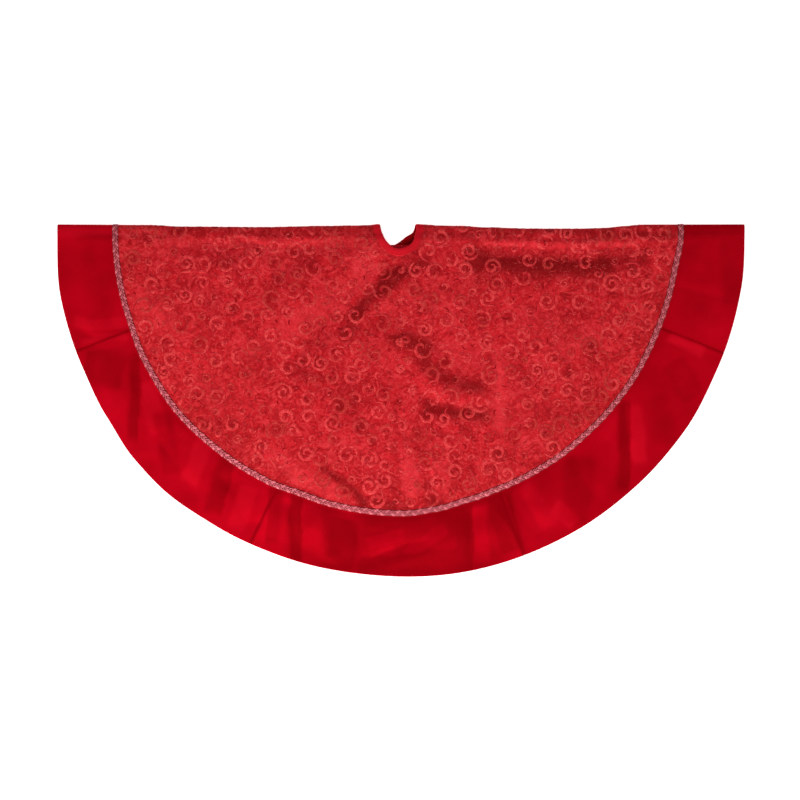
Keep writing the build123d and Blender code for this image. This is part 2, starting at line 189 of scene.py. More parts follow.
# painted light and shade: lighter and darker patches where the folds and the satin's facets catch or lose the light;
# same form as the folds
PAINTED_LIGHT_AND_SHADE = [
    ("g", [(139, -64), (236, -71), (354, -74)], 14.1, 15.9, -1.1, (0, 0)),
    ("g", [(362, -67), (422, -57)], 10.6, 10.6, -0.4, (0, 0)),
    ("g", [(42, -64), (6, -83), (-24, -103)], 8.0, 10.6, -1.1, (0, 0)),
    ("g", [(-20, -99), (-63, -136), (-95, -198)], 8.8, 12.4, -1.0, (0, 0)),
    ("g", [(-10, -203), (15, -209), (40, -217)], 12.4, 12.4, -1.0, (0, 0)),
    ("g", [(40, -244), (77, -267), (112, -281), (146, -286)], 10.6, 12.4, -0.75, (0, 0)),
    ("g", [(47, -324), (95, -331), (149, -334)], 8.8, 10.6, -1.0, (0, 0)),
    ("g", [(-409, -11), (-215, -14), (-56, -11)], 5.0, 5.0, -0.6, (0, 0)),
    ("g", [(50, -11), (210, -14), (439, -14)], 5.0, 5.0, -0.6, (0, 0)),
    ("g", [(-339, -64), (-289, -57)], 8.8, 8.8, -0.35, (0, 0)),
    ("g", [(-409, -110), (-330, -124)], 15.9, 15.9, -0.3, (0, 0)),
    ("g", [(-179, -57), (-155, -64)], 8.8, 8.8, -0.45, (0, 0)),
    ("g", [(-155, -64), (-179, -104), (-206, -140)], 7.1, 7.1, -0.3, (0, 0)),
    ("g", [(-141, -428), (-100, -456), (-65, -490)], 6.2, 6.2, -1.0, (0, 0)),
    ("g", [(-179, -438), (-141, -463), (-105, -492)], 10.6, 10.6, 0.5, (0, 0)),
    ("g", [(-52, -431), (-38, -467), (-20, -493)], 8.8, 8.8, -0.4, (0, 0)),
    ("g", [(19, -424), (26, -460), (33, -484)], 10.6, 10.6, 0.55, (0, 0)),
    ("b", [(-59, -491), (-47, -492), (11, -495), (24, -496)], 7.2, 7.2, -0.54, (0.12, 0.12)),
    ("g", [(33, -483), (68, -488)], 7.1, 7.1, -0.85, (0, 0)),
    ("g", [(-8, -308), (-10, -396), (-11, -484)], 5.3, 5.3, -0.4, (0, 0)),
    ("g", [(34, -396), (40, -467)], 5.3, 5.3, -0.35, (0, 0)),
    ("g", [(89, -405), (107, -449)], 6.2, 6.2, -0.3, (0, 0)),
    ("g", [(128, -4), (130, -60), (133, -131)], 6.2, 6.2, -0.4, (0, 0)),
    ("g", [(333, -223), (337, -244)], 12.4, 12.4, -0.3, (0, 0)),
    ("g", [(351, -57), (353, -104)], 5.3, 5.3, -0.3, (0, 0)),
    ("g", [(-100, -281), (-126, -343)], 17.7, 17.7, -0.2, (0, 0)),
    ("g", [(-330, -352), (-268, -378)], 21.2, 21.2, -0.25, (0, 0)),
    ("g", [(174, -405), (245, -431)], 14.1, 14.1, -0.2, (0, 0)),
    ("g", [(386, -95), (448, -131)], 14.1, 14.1, -0.2, (0, 0)),
    ("g", [(-162, -210), (-169, -246)], 10.6, 10.6, -0.35, (0, 0)),
    ("g", [(165, -223), (172, -290), (171, -352)], 8.8, 8.8, 0.75, (0, 0)),
    ("g", [(169, -325), (174, -343)], 10.6, 10.6, 0.4, (0, 0)),
    ("g", [(42, -286), (86, -306), (148, -311)], 6.2, 6.2, 0.3, (0, 0)),
    ("g", [(68, -223), (139, -237)], 14.1, 14.1, 0.45, (0, 0)),
    ("g", [(-70, -64), (-63, -95)], 12.4, 12.4, 0.6, (0, 0)),
    ("g", [(-100, -117), (-194, -175), (-259, -216)], 19.4, 19.4, 0.5, (0, 0)),
    ("g", [(-179, -255), (-126, -281), (-52, -293)], 21.2, 21.2, -0.3, (0, 0)),
    ("g", [(-342, -163), (-286, -184), (-247, -219)], 15.9, 15.9, -0.25, (0, 0)),
    ("g", [(-462, -131), (-418, -157)], 21.2, 21.2, 0.4, (0, 0)),
    ("g", [(-47, -219), (-11, -240)], 14.1, 14.1, 0.35, (0, 0)),
    ("g", [(-3, -131), (50, -149)], 17.7, 17.7, 0.25, (0, 0)),
    ("g", [(148, -30), (245, -34), (404, -32)], 5.3, 5.3, 0.45, (0, 0)),
    ("g", [(-409, -30), (-179, -30), (-65, -27)], 8.8, 8.8, 0.35, (0, 0)),
    ("g", [(6, -387), (15, -467)], 10.6, 10.6, 0.5, (0, 0)),
    ("g", [(68, -396), (82, -476)], 10.6, 10.6, 0.45, (0, 0)),
    ("g", [(-224, -405), (-179, -449)], 12.4, 12.4, 0.45, (0, 0)),
    ("g", [(-148, -423), (-126, -476)], 7.1, 7.1, 0.35, (0, 0)),
    ("g", [(210, -166), (280, -219)], 24.8, 24.8, 0.3, (0, 0)),
    ("g", [(210, -378), (218, -449)], 14.1, 14.1, 0.3, (0, 0)),
    ("g", [(-356, -281), (-330, -308)], 14.1, 14.1, 0.35, (0, 0)),
    ("b", [(-613, -9), (-600, -9), (-507, -7), (-494, -7)], 9.5, 9.5, 0.45, (0.12, 0.12)),
    ("b", [(-611, -33), (-604, -42), (-551, -113), (-501, -131), (-490, -135)], 47.7, 47.7, -0.23, (0.12, 0.12)),
    ("b", [(-584, -168), (-572, -170), (-524, -175), (-489, -170), (-477, -168)], 9.5, 9.5, 0.45, (0.12, 0.12)),
    ("b", [(-572, -209), (-560, -207), (-489, -196), (-477, -194)], 7.2, 7.2, 0.45, (0.12, 0.12)),
    ("b", [(-566, -243), (-554, -246), (-498, -258), (-486, -261)], 26.3, 26.3, -0.63, (0.12, 0.12)),
    ("b", [(-464, -217), (-464, -230), (-464, -299), (-469, -378), (-470, -391)], 3.1, 14.3, -0.81, (0.12, 0.12)),
    ("b", [(-451, -269), (-448, -281), (-431, -361), (-428, -373)], 14.3, 14.3, 0.45, (0.12, 0.12)),
    ("b", [(-426, -322), (-423, -334), (-406, -431), (-404, -444)], 14.3, 14.3, -0.54, (0.12, 0.12)),
    ("b", [(-341, -367), (-346, -378), (-374, -449), (-379, -461)], 14.3, 14.3, 0.54, (0.12, 0.12)),
    ("b", [(-295, -405), (-298, -417), (-323, -506), (-326, -518)], 4.8, 21.5, -0.81, (0.12, 0.12)),
    ("b", [(-267, -455), (-271, -467), (-293, -529), (-297, -540)], 14.3, 14.3, 0.45, (0.12, 0.12)),
    ("b", [(-230, -454), (-231, -467), (-238, -555), (-239, -567)], 19.1, 3.1, -0.63, (0.12, 0.12)),
    ("b", [(-179, -463), (-179, -476), (-181, -587), (-181, -599)], 3.1, 14.3, -0.9, (0.12, 0.12)),
    ("b", [(-163, -477), (-162, -490), (-155, -587), (-154, -599)], 16.7, 16.7, 0.32, (0.12, 0.12)),
    ("b", [(-98, -516), (-100, -529), (-109, -599), (-110, -612)], 19.1, 19.1, -0.45, (0.12, 0.12)),
    ("b", [(-64, -564), (-52, -560), (-3, -546), (9, -543)], 9.5, 9.5, 0.36, (0.12, 0.12)),
    ("b", [(5, -585), (15, -578), (72, -537), (82, -530)], 9.5, 9.5, 0.45, (0.12, 0.12)),
    ("b", [(-77, -602), (-65, -601), (42, -594), (54, -593)], 11.9, 11.9, -0.72, (0.12, 0.12)),
    ("b", [(38, -601), (50, -599), (103, -591), (116, -588)], 19.1, 19.1, -0.45, (0.12, 0.12)),
    ("b", [(123, -486), (123, -499), (123, -605), (123, -617)], 3.1, 19.1, -0.81, (0.12, 0.12)),
    ("b", [(137, -486), (137, -499), (141, -591), (141, -603)], 11.9, 11.9, 0.45, (0.12, 0.12)),
    ("b", [(171, -472), (174, -484), (195, -569), (198, -581)], 16.7, 16.7, -0.72, (0.12, 0.12)),
    ("b", [(202, -457), (210, -467), (254, -529), (261, -539)], 19.1, 19.1, 0.36, (0.12, 0.12)),
    ("b", [(267, -491), (277, -499), (301, -520), (311, -528)], 11.9, 11.9, 0.54, (0.12, 0.12)),
    ("b", [(317, -401), (316, -414), (307, -520), (306, -532)], 23.9, 23.9, -0.45, (0.12, 0.12)),
    ("b", [(233, -454), (245, -449), (307, -423), (318, -418)], 14.3, 14.3, -0.27, (0.12, 0.12)),
    ("b", [(402, -304), (402, -316), (400, -460), (400, -472)], 3.1, 16.7, -0.9, (0.12, 0.12)),
    ("b", [(406, -310), (408, -322), (422, -414), (424, -426)], 11.9, 11.9, 0.54, (0.12, 0.12)),
    ("b", [(445, -296), (448, -308), (466, -378), (469, -390)], 19.1, 19.1, -0.27, (0.12, 0.12)),
    ("b", [(467, -193), (478, -198), (528, -219), (539, -224)], 9.5, 9.5, 0.72, (0.12, 0.12)),
    ("b", [(477, -235), (484, -246), (514, -299), (520, -310)], 19.1, 19.1, -0.45, (0.12, 0.12)),
    ("b", [(589, -12), (590, -25), (595, -131), (596, -143)], 23.9, 23.9, -0.32, (0.12, 0.12)),
    ("b", [(504, -32), (510, -42), (563, -131), (569, -141)], 52.5, 52.5, -0.14, (0.12, 0.12)),
    ("b", [(480, -3), (492, -4), (598, -5), (611, -6)], 9.5, 9.5, -0.63, (0.12, 0.12)),
]

# hand-cut outline: rim radius and braid radius by angle from the right end of the fold
RIM_KEYS = (0, 10, 24, 36, 48, 60, 78, 96, 110, 122, 132, 139, 147, 156, 168, 180)
RIM_AT = (607, 611, 613, 618, 619.5, 621, 622, 619.5, 621.5, 624, 628.5, 627, 621, 617, 616, 609)
BRAID_KEYS = (0, 9, 21, 33, 45, 57, 69, 76, 83, 89, 99, 105, 111, 118, 129, 141, 153, 163, 180)
BRAID_AT = (494, 488, 487.5, 489.5, 490.5, 493, 494.5, 497.5, 503.5, 507.5, 507, 506.5, 505, 509, 511, 513.5, 511.5, 507.5, 506)
# the fold line isn't straight: where the cloth's edge lies, by x
EDGE_KEYS = (-640, -560, -450, -385, -250, -140, -70, -40, 40, 62, 105, 150, 230, 300, 360, 395, 430, 640)
EDGE_AT = (3.4, 3.0, 2.2, -0.6, -1.6, 0.4, 1.4, 3.2, 3.2, 1.4, 0.6, -2.0, -4.2, -4.4, -3.2, 0.4, 3.0, 3.4)


def rim_radius(angle):
    return table(RIM_KEYS, RIM_AT, angle, soft=True)


def braid_radius(angle):
    return table(BRAID_KEYS, BRAID_AT, angle, soft=True)


def fold_edge(x):
    return table(EDGE_KEYS, EDGE_AT, x, soft=True) - 0.0


def strokes(x, y, folds):
    """Sum of the folds' heights at points x, y."""
    out = np.zeros(x.shape)
    for kind, points, left, right, height, (run_in, run_out) in folds:
        p = np.array(points, float)
        # a smooth line through the points
        q = np.vstack([2 * p[0] - p[1], p, 2 * p[-1] - p[-2]])
        line = []
        for k in range(1, len(q) - 2):
            for t in np.linspace(0, 1, 7)[:-1]:
                a, b, c, d = q[k - 1], q[k], q[k + 1], q[k + 2]
                line.append(0.5 * (2 * b + (c - a) * t + (2 * a - 5 * b + 4 * c - d) * t * t + (3 * b - a - 3 * c + d) * t**3))
        line.append(p[-1])
        line = np.array(line)
        wide = 4.2 * max(left, right)
        lo, hi = line.min(0) - wide, line.max(0) + wide
        near = (x > lo[0]) & (x < hi[0]) & (y > lo[1]) & (y < hi[1])
        if not near.any():
            continue
        px, py = x[near], y[near]
        best = np.full(px.shape, 1e9)
        side, at = np.zeros(px.shape), np.zeros(px.shape)
        steps = np.linalg.norm(np.diff(line, axis=0), axis=1)
        before = np.concatenate([[0], np.cumsum(steps)])
        for k in range(len(line) - 1):
            a, d = line[k], (line[k + 1] - line[k])
            t = np.clip(((px - a[0]) * d[0] + (py - a[1]) * d[1]) / (d @ d), 0, 1)
            ex, ey = px - a[0] - t * d[0], py - a[1] - t * d[1]
            dist = np.hypot(ex, ey)
            closer = dist < best
            best = np.where(closer, dist, best)
            side = np.where(closer, d[0] * ey - d[1] * ex, side)
            at = np.where(closer, (before[k] + t * steps[k]) / before[-1], at)
        width = np.where(side > 0, left, right)
        # the two widths meet smoothly across the stroke's own line
        blend = smooth(0.5 + best * np.sign(side) / (0.6 * min(left, right)))
        width = right * (1 - blend) + left * blend
        u = best / width
        if kind == "g":
            shape = np.exp(-0.5 * u * u)
        elif kind == "b":
            shape = 1 - smooth((u - 0.75) / 0.8)
        else:
            shape = np.exp(0.28 - np.sqrt(u * u * 1.35 + 0.0784))
        fade = 1.0
        if run_in > 0:
            fade = smooth(at / run_in)
        if run_out > 0:
            fade = fade * smooth((1 - at) / run_out)
        out[near] += height * shape * fade
    return out


def blur(a, cells):
    """Gaussian blur of a grid, edges held."""
    n = int(3 * cells) + 1
    k = np.exp(-0.5 * (np.arange(-n, n + 1) / cells) ** 2)
    k /= k.sum()
    for axis in (0, 1):
        pad = [(n, n) if i == axis else (0, 0) for i in (0, 1)]
        b = np.pad(a, pad, mode="edge")
        a = sum(w * np.take(b, range(i, i + a.shape[axis]), axis=axis) for i, w in enumerate(k))
    return a


class Field:
    """A height over the plane, kept on a grid and read with a smooth cubic."""

    def __init__(self, step, make):
        self.step = step
        self.x0, self.y0 = -680.0, -680.0
        xs = np.arange(self.x0, 681, step)
        ys = np.arange(self.y0, 61, step)
        x, y = np.meshgrid(xs, ys, indexing="ij")
        self.z = make(x, y)

    def __call__(self, x, y):
        x, y = np.broadcast_arrays(np.asarray(x, float), np.asarray(y, float))
        gx, gy = (x - self.x0) / self.step, (y - self.y0) / self.step
        i = np.clip(np.floor(gx).astype(int), 1, self.z.shape[0] - 3)
        j = np.clip(np.floor(gy).astype(int), 1, self.z.shape[1] - 3)
        fx, fy = np.clip(gx - i, 0, 1), np.clip(gy - j, 0, 1)

        def w(t):
            return (
                -0.5 * t + t * t - 0.5 * t**3,
                1 - 2.5 * t * t + 1.5 * t**3,
                0.5 * t + 2 * t * t - 1.5 * t**3,
                -0.5 * t * t + 0.5 * t**3,
            )

        wx, wy, out = w(fx), w(fy), 0.0
        for a in range(4):
            row = 0.0
            for b in range(4):
                row = row + wy[b] * self.z[i + a - 1, j + b - 1]
            out = out + wx[a] * row
        return out


# distance of the neck's edge from the middle of the fold line, by angle, front and back
NECK_KEYS = (0, 19, 42, 50, 66, 88, 99, 107, 122, 150, 180)
NECK_FRONT = (25.0, 26.4, 29.6, 32.6, 36.2, 39.2, 40.6, 40.6, 38.4, 35.9, 38.0)
NECK_BACK_KEYS = (0, 22, 39, 50, 58, 67, 76, 90, 100, 108, 116, 124, 136, 155, 180)
NECK_BACK = (24.4, 22.9, 20.6, 20.0, 19.9, 20.4, 21.4, 24.7, 29.0, 34.4, 39.0, 41.5, 42.0, 40.5, 38.0)


def front_height(x, y):
    r, angle = np.hypot(x, y), np.degrees(np.arctan2(-y, x))
    angle = np.clip(angle, 0, 180)
    rb, rr = braid_radius(angle), rim_radius(angle)
    n1, n2, n3, n4, n5 = Noise(3), Noise(11), Noise(23), Noise(37), Noise(51)
    # the points wander a little, so that no fold is ruled
    wx = x + 7 * n1(x, y, 60) + 3 * n2(x, y, 22)
    wy = y + 7 * n3(x, y, 60) + 3 * n4(x, y, 22)
    inside = smooth((rb - r + 20) / 40)          # 1 on the panel, 0 on the border
    panel = -1.15 * strokes(wx, wy, PANEL_FOLDS)
    panel += 1.5 * n1(x, y, 170) + 1.5 * n2(x, y, 85) + 0.9 * n3(x, y, 42) + 0.4 * n4(x, y, 21) + 0.12 * n5(x, y, 10)
    # small gathers where the braid pulls on the panel
    arc = np.radians(angle) * 500
    gather = n2(arc, r * 0.25, 27) + 0.8 * n5(arc, r * 0.3, 14)
    panel += 1.7 * gather * np.exp(-np.abs(r - rb + 8) / 20)
    wx = x + 4 * n3(x, y, 50) + 1.2 * n5(x, y, 20)
    wy = y + 4 * n1(x, y, 50) + 1.2 * n2(x, y, 20)
    border = -0.62 * strokes(wx, wy, BORDER_FOLDS)
    border += 1.1 * n4(x, y, 90) + 0.7 * n5(x, y, 40) + 0.16 * n2(x, y, 18)
    border += 0.8 * n3(arc, r * 0.3, 24) * np.exp(-np.abs(r - rb - 4) / 16)
    relief = panel * inside + border * (1 - inside)
    # sewn down under the braid, and settled at the rim
    relief *= 1 - 0.55 * np.exp(-(((r - rb) / 16.0) ** 2))
    relief -= 0.45 * np.exp(-(((np.abs(r - rb) - 9.5) / 3.0) ** 2))
    relief *= 1 - 0.5 * smooth((r - rr + 26) / 26)
    # the rim is held a little flatter, and the fold quiet close to its roll
    depth = fold_edge(x) - y
    relief *= 0.25 + 0.75 * smooth((depth - 4) / 26)
    base = 8.0 + 3.3 * smooth((depth - 12) / 17)
    base -= (base - 6.2) * smooth((r - rr + 70) / 70)
    h = base + relief + 0.8 * np.exp(-(((r - 42) / 22) ** 2))
    # border seams: a narrow groove between two soft lips
    for seam in FRONT_SEAMS:
        off = np.radians(angle - seam) * r
        on = smooth((r - rb) / 8)
        h += on * (0.05 * np.exp(-0.5 * ((np.abs(off) - 6) / 3.5) ** 2) - 0.42 * np.exp(-0.5 * (off / 1.6) ** 2))
    # never through the layer below, nor far above the cloth's own box
    low, high = 5.5, 15.2
    h = low + np.logaddexp(0, (h - low) * 1.6) / 1.6
    return high - np.logaddexp(0, (high - h) * 1.6) / 1.6


def back_height(x, y):
    r, angle = np.hypot(x, y), np.clip(np.degrees(np.arctan2(-y, x)), 0, 180)
    n1, n2 = Noise(71), Noise(83)
    h = 0.72 + 0.2 * n1(x, y, 70) + 0.1 * n2(x, y, 25)
    rb = braid_radius(angle)
    h += 0.35 * np.exp(-(((r - rb) / 14.0) ** 2)) + 0.12 * smooth((r - rb) / 10)
    for seam in BACK_SEAMS:
        off = np.radians(angle - seam) * r
        h += smooth((r - rb) / 8) * 0.15 * np.exp(-0.5 * (off / 1.5) ** 2)
    return np.clip(h, 0.55, 1.12)


def front_painted_shade_and_tone(x, y):
    """Painted light and shade on the front, with some tone that differs at random, -1 to 1."""
    r, angle = np.hypot(x, y), np.clip(np.degrees(np.arctan2(-y, x)), 0, 180)
    n1, n2 = Noise(61), Noise(67)
    wx = x + 5 * n1(x, y, 45) + 2 * n2(x, y, 16)
    wy = y + 5 * n2(x, y, 45) + 2 * n1(x, y, 16)
    value = strokes(wx, wy, PAINTED_LIGHT_AND_SHADE) + 0.22 * n1(x, y, 75) + 0.2 * n2(x, y, 34)
    rb = braid_radius(angle)
    # painted shade: thin dark lines on both sides of the braid
    value -= 0.22 * np.exp(-(((np.abs(r - rb) - 8.5) / 2.6) ** 2))
    # painted shade on the panel just outside the neck binding
    value -= 0.5 * np.exp(-(((r - table(NECK_KEYS, NECK_FRONT, angle) - 17.5) / 4.0) ** 2))
    # painted shade: the border made darker across the bottom of the skirt
    value -= 0.82 * smooth((r - rb) / 8) * smooth((y * -1 - 380) / 120) * smooth((260 - np.abs(x - 10)) / 120)
    # painted shade along the border seams
    for seam in FRONT_SEAMS:
        off = np.radians(angle - seam) * r
        value += smooth((r - rb) / 8) * (-0.55 * np.exp(-0.5 * (off / 2.6) ** 2))
    return np.clip(value, -1.1, 1.0)


def wing_tone(x, y):
    n1, n2 = Noise(91), Noise(97)
    return 0.5 * n1(x, y, 80) + 0.4 * n2(x, y, 33)


H = Field(1.5, front_height)
FRONT_PAINTED_SHADE_AND_TONE = Field(3.0, front_painted_shade_and_tone)
WING_TONE = Field(6.0, wing_tone)
B = Field(4.0, back_height)


# --------------------------------------------------------------------------
# Columns: a column is a place round the skirt, from the middle of the front
# (u = 0) over the fold (psi) and along the back to the slit.
# --------------------------------------------------------------------------
FRONT, ROLL, BACK = 0, 1, 2


def fold_angle(side, r):
    """Angle from the fold line at which the roll begins, at radius r."""
    edge = fold_edge(side * r)
    return np.degrees(np.arcsin(np.clip((REACH - edge) / r, 0, 1)))


def slit_angle(r):
    return np.degrees(np.arccos(np.clip(HALF_SLIT / r, 0, 1)))


class Columns:
    """Places round one side.  start and stop are angles from that side's end of the fold."""

    def __init__(self, parts):
        self.kind, self.t, self.a0, self.a1 = (np.concatenate(v) for v in zip(*parts))

    def __len__(self):
        return len(self.kind)


def part(kind, t, a0=90.0, a1=0.0):
    t = np.asarray(t, float)
    return np.full(len(t), kind), t, np.full(len(t), float(a0)), np.full(len(t), float(a1))


def surface(side, r, cols, h):
    """Points at radius r (rows) and columns, h outside the cloth's outer face.  r and h are (columns, rows)."""
    kind, t, a0, a1 = cols.kind[:, None], cols.t[:, None], cols.a0[:, None], cols.a1[:, None]
    r, h = np.broadcast_arrays(r, h)
    r = r + 0.0 * t
    h = h + 0.0 * t
    fold = fold_angle(side, r)
    # the slit's own angle stands in where a back part ends at 90
    far = np.where((kind == BACK) & (a1 >= 89.9), slit_angle(r), a1)
    angle = np.where(kind == FRONT, a0 * (1 - t) + np.where(a1 <= 0.1, fold, a1) * t,
                     np.where(a0 <= 0.1, fold, a0) * (1 - t) + far * t)
    angle = np.radians(angle)
    x, y = side * r * np.cos(angle), -r * np.sin(angle)
    psi = np.radians(t)
    edge = fold_edge(side * r)
    yc = edge - REACH
    yr = yc + (REACH + 1.2 * h) * np.sin(psi)
    xr = side * np.sqrt(np.maximum(r * r - yr * yr, 0))
    x, y = np.where(kind == ROLL, xr, x), np.where(kind == ROLL, yr, y)
    ys = np.where(kind == ROLL, yc, y)
    top, under = H(x, ys), B(x, ys)
    z = np.where(kind == FRONT, top + h, under - h)
    c = np.cos(psi)
    zr = np.where(c >= 0, Z_FOLD + (top - Z_FOLD + h) * c, Z_FOLD + (Z_FOLD - under + h) * c)
    z = np.where(kind == ROLL, zr, z)
    flat_y = np.where(kind == FRONT, y, np.where(kind == ROLL, yc + t / 180 * 29.6, 2 * yc + 29.6 - y))
    return np.stack([x, y, z], -1), np.stack([x, flat_y], -1)


ROLL_FINE = np.linspace(0, 180, 19)[1:]
ROLL_COARSE = np.linspace(0, 180, 11)[1:]


def whole_side(front_step, back_step, radius=500.0, roll=ROLL_FINE):
    """Columns for one side, from the middle of the front to the slit."""
    n = int(radius * math.pi / 2 / front_step)
    m = int(radius * math.pi / 2 / back_step)
    return Columns([
        part(FRONT, np.linspace(0, 1, n + 1), 90, 0),
        part(ROLL, roll),
        part(BACK, np.linspace(0, 1, m + 1)[1:], 0, 90),
    ])


# --------------------------------------------------------------------------
# Meshes
# --------------------------------------------------------------------------
scene = bpy.context.scene


def make(name, vertices, faces, uv=None, smooth_faces=True, angle=48):
    mesh = bpy.data.meshes.new(name)
    mesh.from_pydata([], [], [])
    vertices = np.asarray(vertices, float).reshape(-1, 3) * 0.001
    quads = np.asarray(faces, int)
    mesh.vertices.add(len(vertices))
    mesh.vertices.foreach_set("co", vertices.astype(np.float32).ravel())
    corners = quads.shape[1]
    mesh.loops.add(quads.size)
    mesh.loops.foreach_set("vertex_index", quads.astype(np.int32).ravel())
    mesh.polygons.add(len(quads))
    mesh.polygons.foreach_set("loop_start", (np.arange(len(quads)) * corners).astype(np.int32))
    mesh.update(calc_edges=True)
    if uv is not None:
        layer = mesh.uv_layers.new(name="flat")
        flat = np.asarray(uv, float).reshape(-1, 2) * 0.001
        layer.data.foreach_set("uv", flat[quads.ravel()].astype(np.float32).ravel())
    mesh.validate()
    mesh.polygons.foreach_set("use_smooth", np.full(len(mesh.polygons), smooth_faces))
    if smooth_faces and angle:
        mesh.set_sharp_from_angle(angle=math.radians(angle))
    obj = bpy.data.objects.new(name, mesh)
    scene.collection.objects.link(obj)
    return obj


def add_painted_shade_and_tone(piece):
    """Keep the painted light and shade, with some tone that differs at random, on the piece's points."""
    mesh = piece.data
    co = np.zeros(len(mesh.vertices) * 3, np.float32)
    mesh.vertices.foreach_get("co", co)
    x, y, z = (co.reshape(-1, 3) * 1000).T
    share = np.clip((z - 2.7) / 1.1, 0, 1)
    value = share * FRONT_PAINTED_SHADE_AND_TONE(x, y) + (1 - share) * WING_TONE(x, y)
    # painted shade along the border seams, which are pressed in
    r, angle = np.hypot(x, y), np.clip(np.degrees(np.arctan2(-y, x)), 0, 180)
    on_border = smooth((r - braid_radius(angle)) / 8)
    for seams, here in ((FRONT_SEAMS, share), (BACK_SEAMS, 1 - share)):
        for seam in seams:
            off = np.radians(angle - seam) * r
            value -= here * on_border * 0.85 * np.exp(-0.5 * (off / 1.5) ** 2)
    value = np.clip(value, -1.25, 1.0)
    layer = mesh.attributes.new("tone", "FLOAT", "POINT")
    layer.data.foreach_set("value", value.astype(np.float32))
    return piece


def flat_of(piece):
    """The points' places on the flat cloth, millimetres."""
    mesh = piece.data
    co = np.zeros(len(mesh.vertices) * 3, np.float32)
    mesh.vertices.foreach_get("co", co)
    x, y, z = (co.reshape(-1, 3) * 1000).T
    edge = fold_edge(np.sign(x) * np.hypot(x, y))
    return np.stack([x, np.where(z > 3.0, y, 2 * (edge - REACH) + 29.6 - y)], -1)


def grid_faces(n, m, base=0, closed=False, flip=False):
    """Quads of an n by m grid of points; closed joins the last row place to the first."""
    i = np.arange(n - 1)[:, None]
    j = np.arange(m if closed else m - 1)[None, :]
    jj = (j + 1) % m
    a, b, c, d = i * m + j, (i + 1) * m + j, (i + 1) * m + jj, i * m + jj
    q = np.stack([a, b, c, d], -1).reshape(-1, 4) + base
    return q[:, ::-1] if flip else q


def swept(name, points, uv, side, half):
    """A closed body from a loop of points at each column: half points out, half back."""
    n, m = points.shape[:2]
    faces = [grid_faces(n, m, closed=True, flip=side == RIGHT)]
    k = np.arange(half - 1)
    for col, turn in ((0, True), (n - 1, False)):
        a, b = col * m + k, col * m + k + 1
        c, d = col * m + (m - 2 - k), col * m + (m - 1 - k)
        q = np.stack([a, b, c, d], -1)
        if turn ^ (side == RIGHT):
            q = q[:, ::-1]
        faces.append(q[:, ::-1])
    return make(name, points, np.vstack(faces), uv)


def layer(name, side, cols, radii, outer, inner):
    """A closed sheet between two offsets from the cloth's outer face."""
    n = radii.shape[1]
    h = np.concatenate([np.full(n, outer), np.full(n, inner)])[None, :]
    r = np.concatenate([radii, radii[:, ::-1]], axis=1)
    points, uv = surface(side, r, cols, h)
    return swept(name, points, uv, side, n)


def word(side):
    return "left" if side == LEFT else "right"


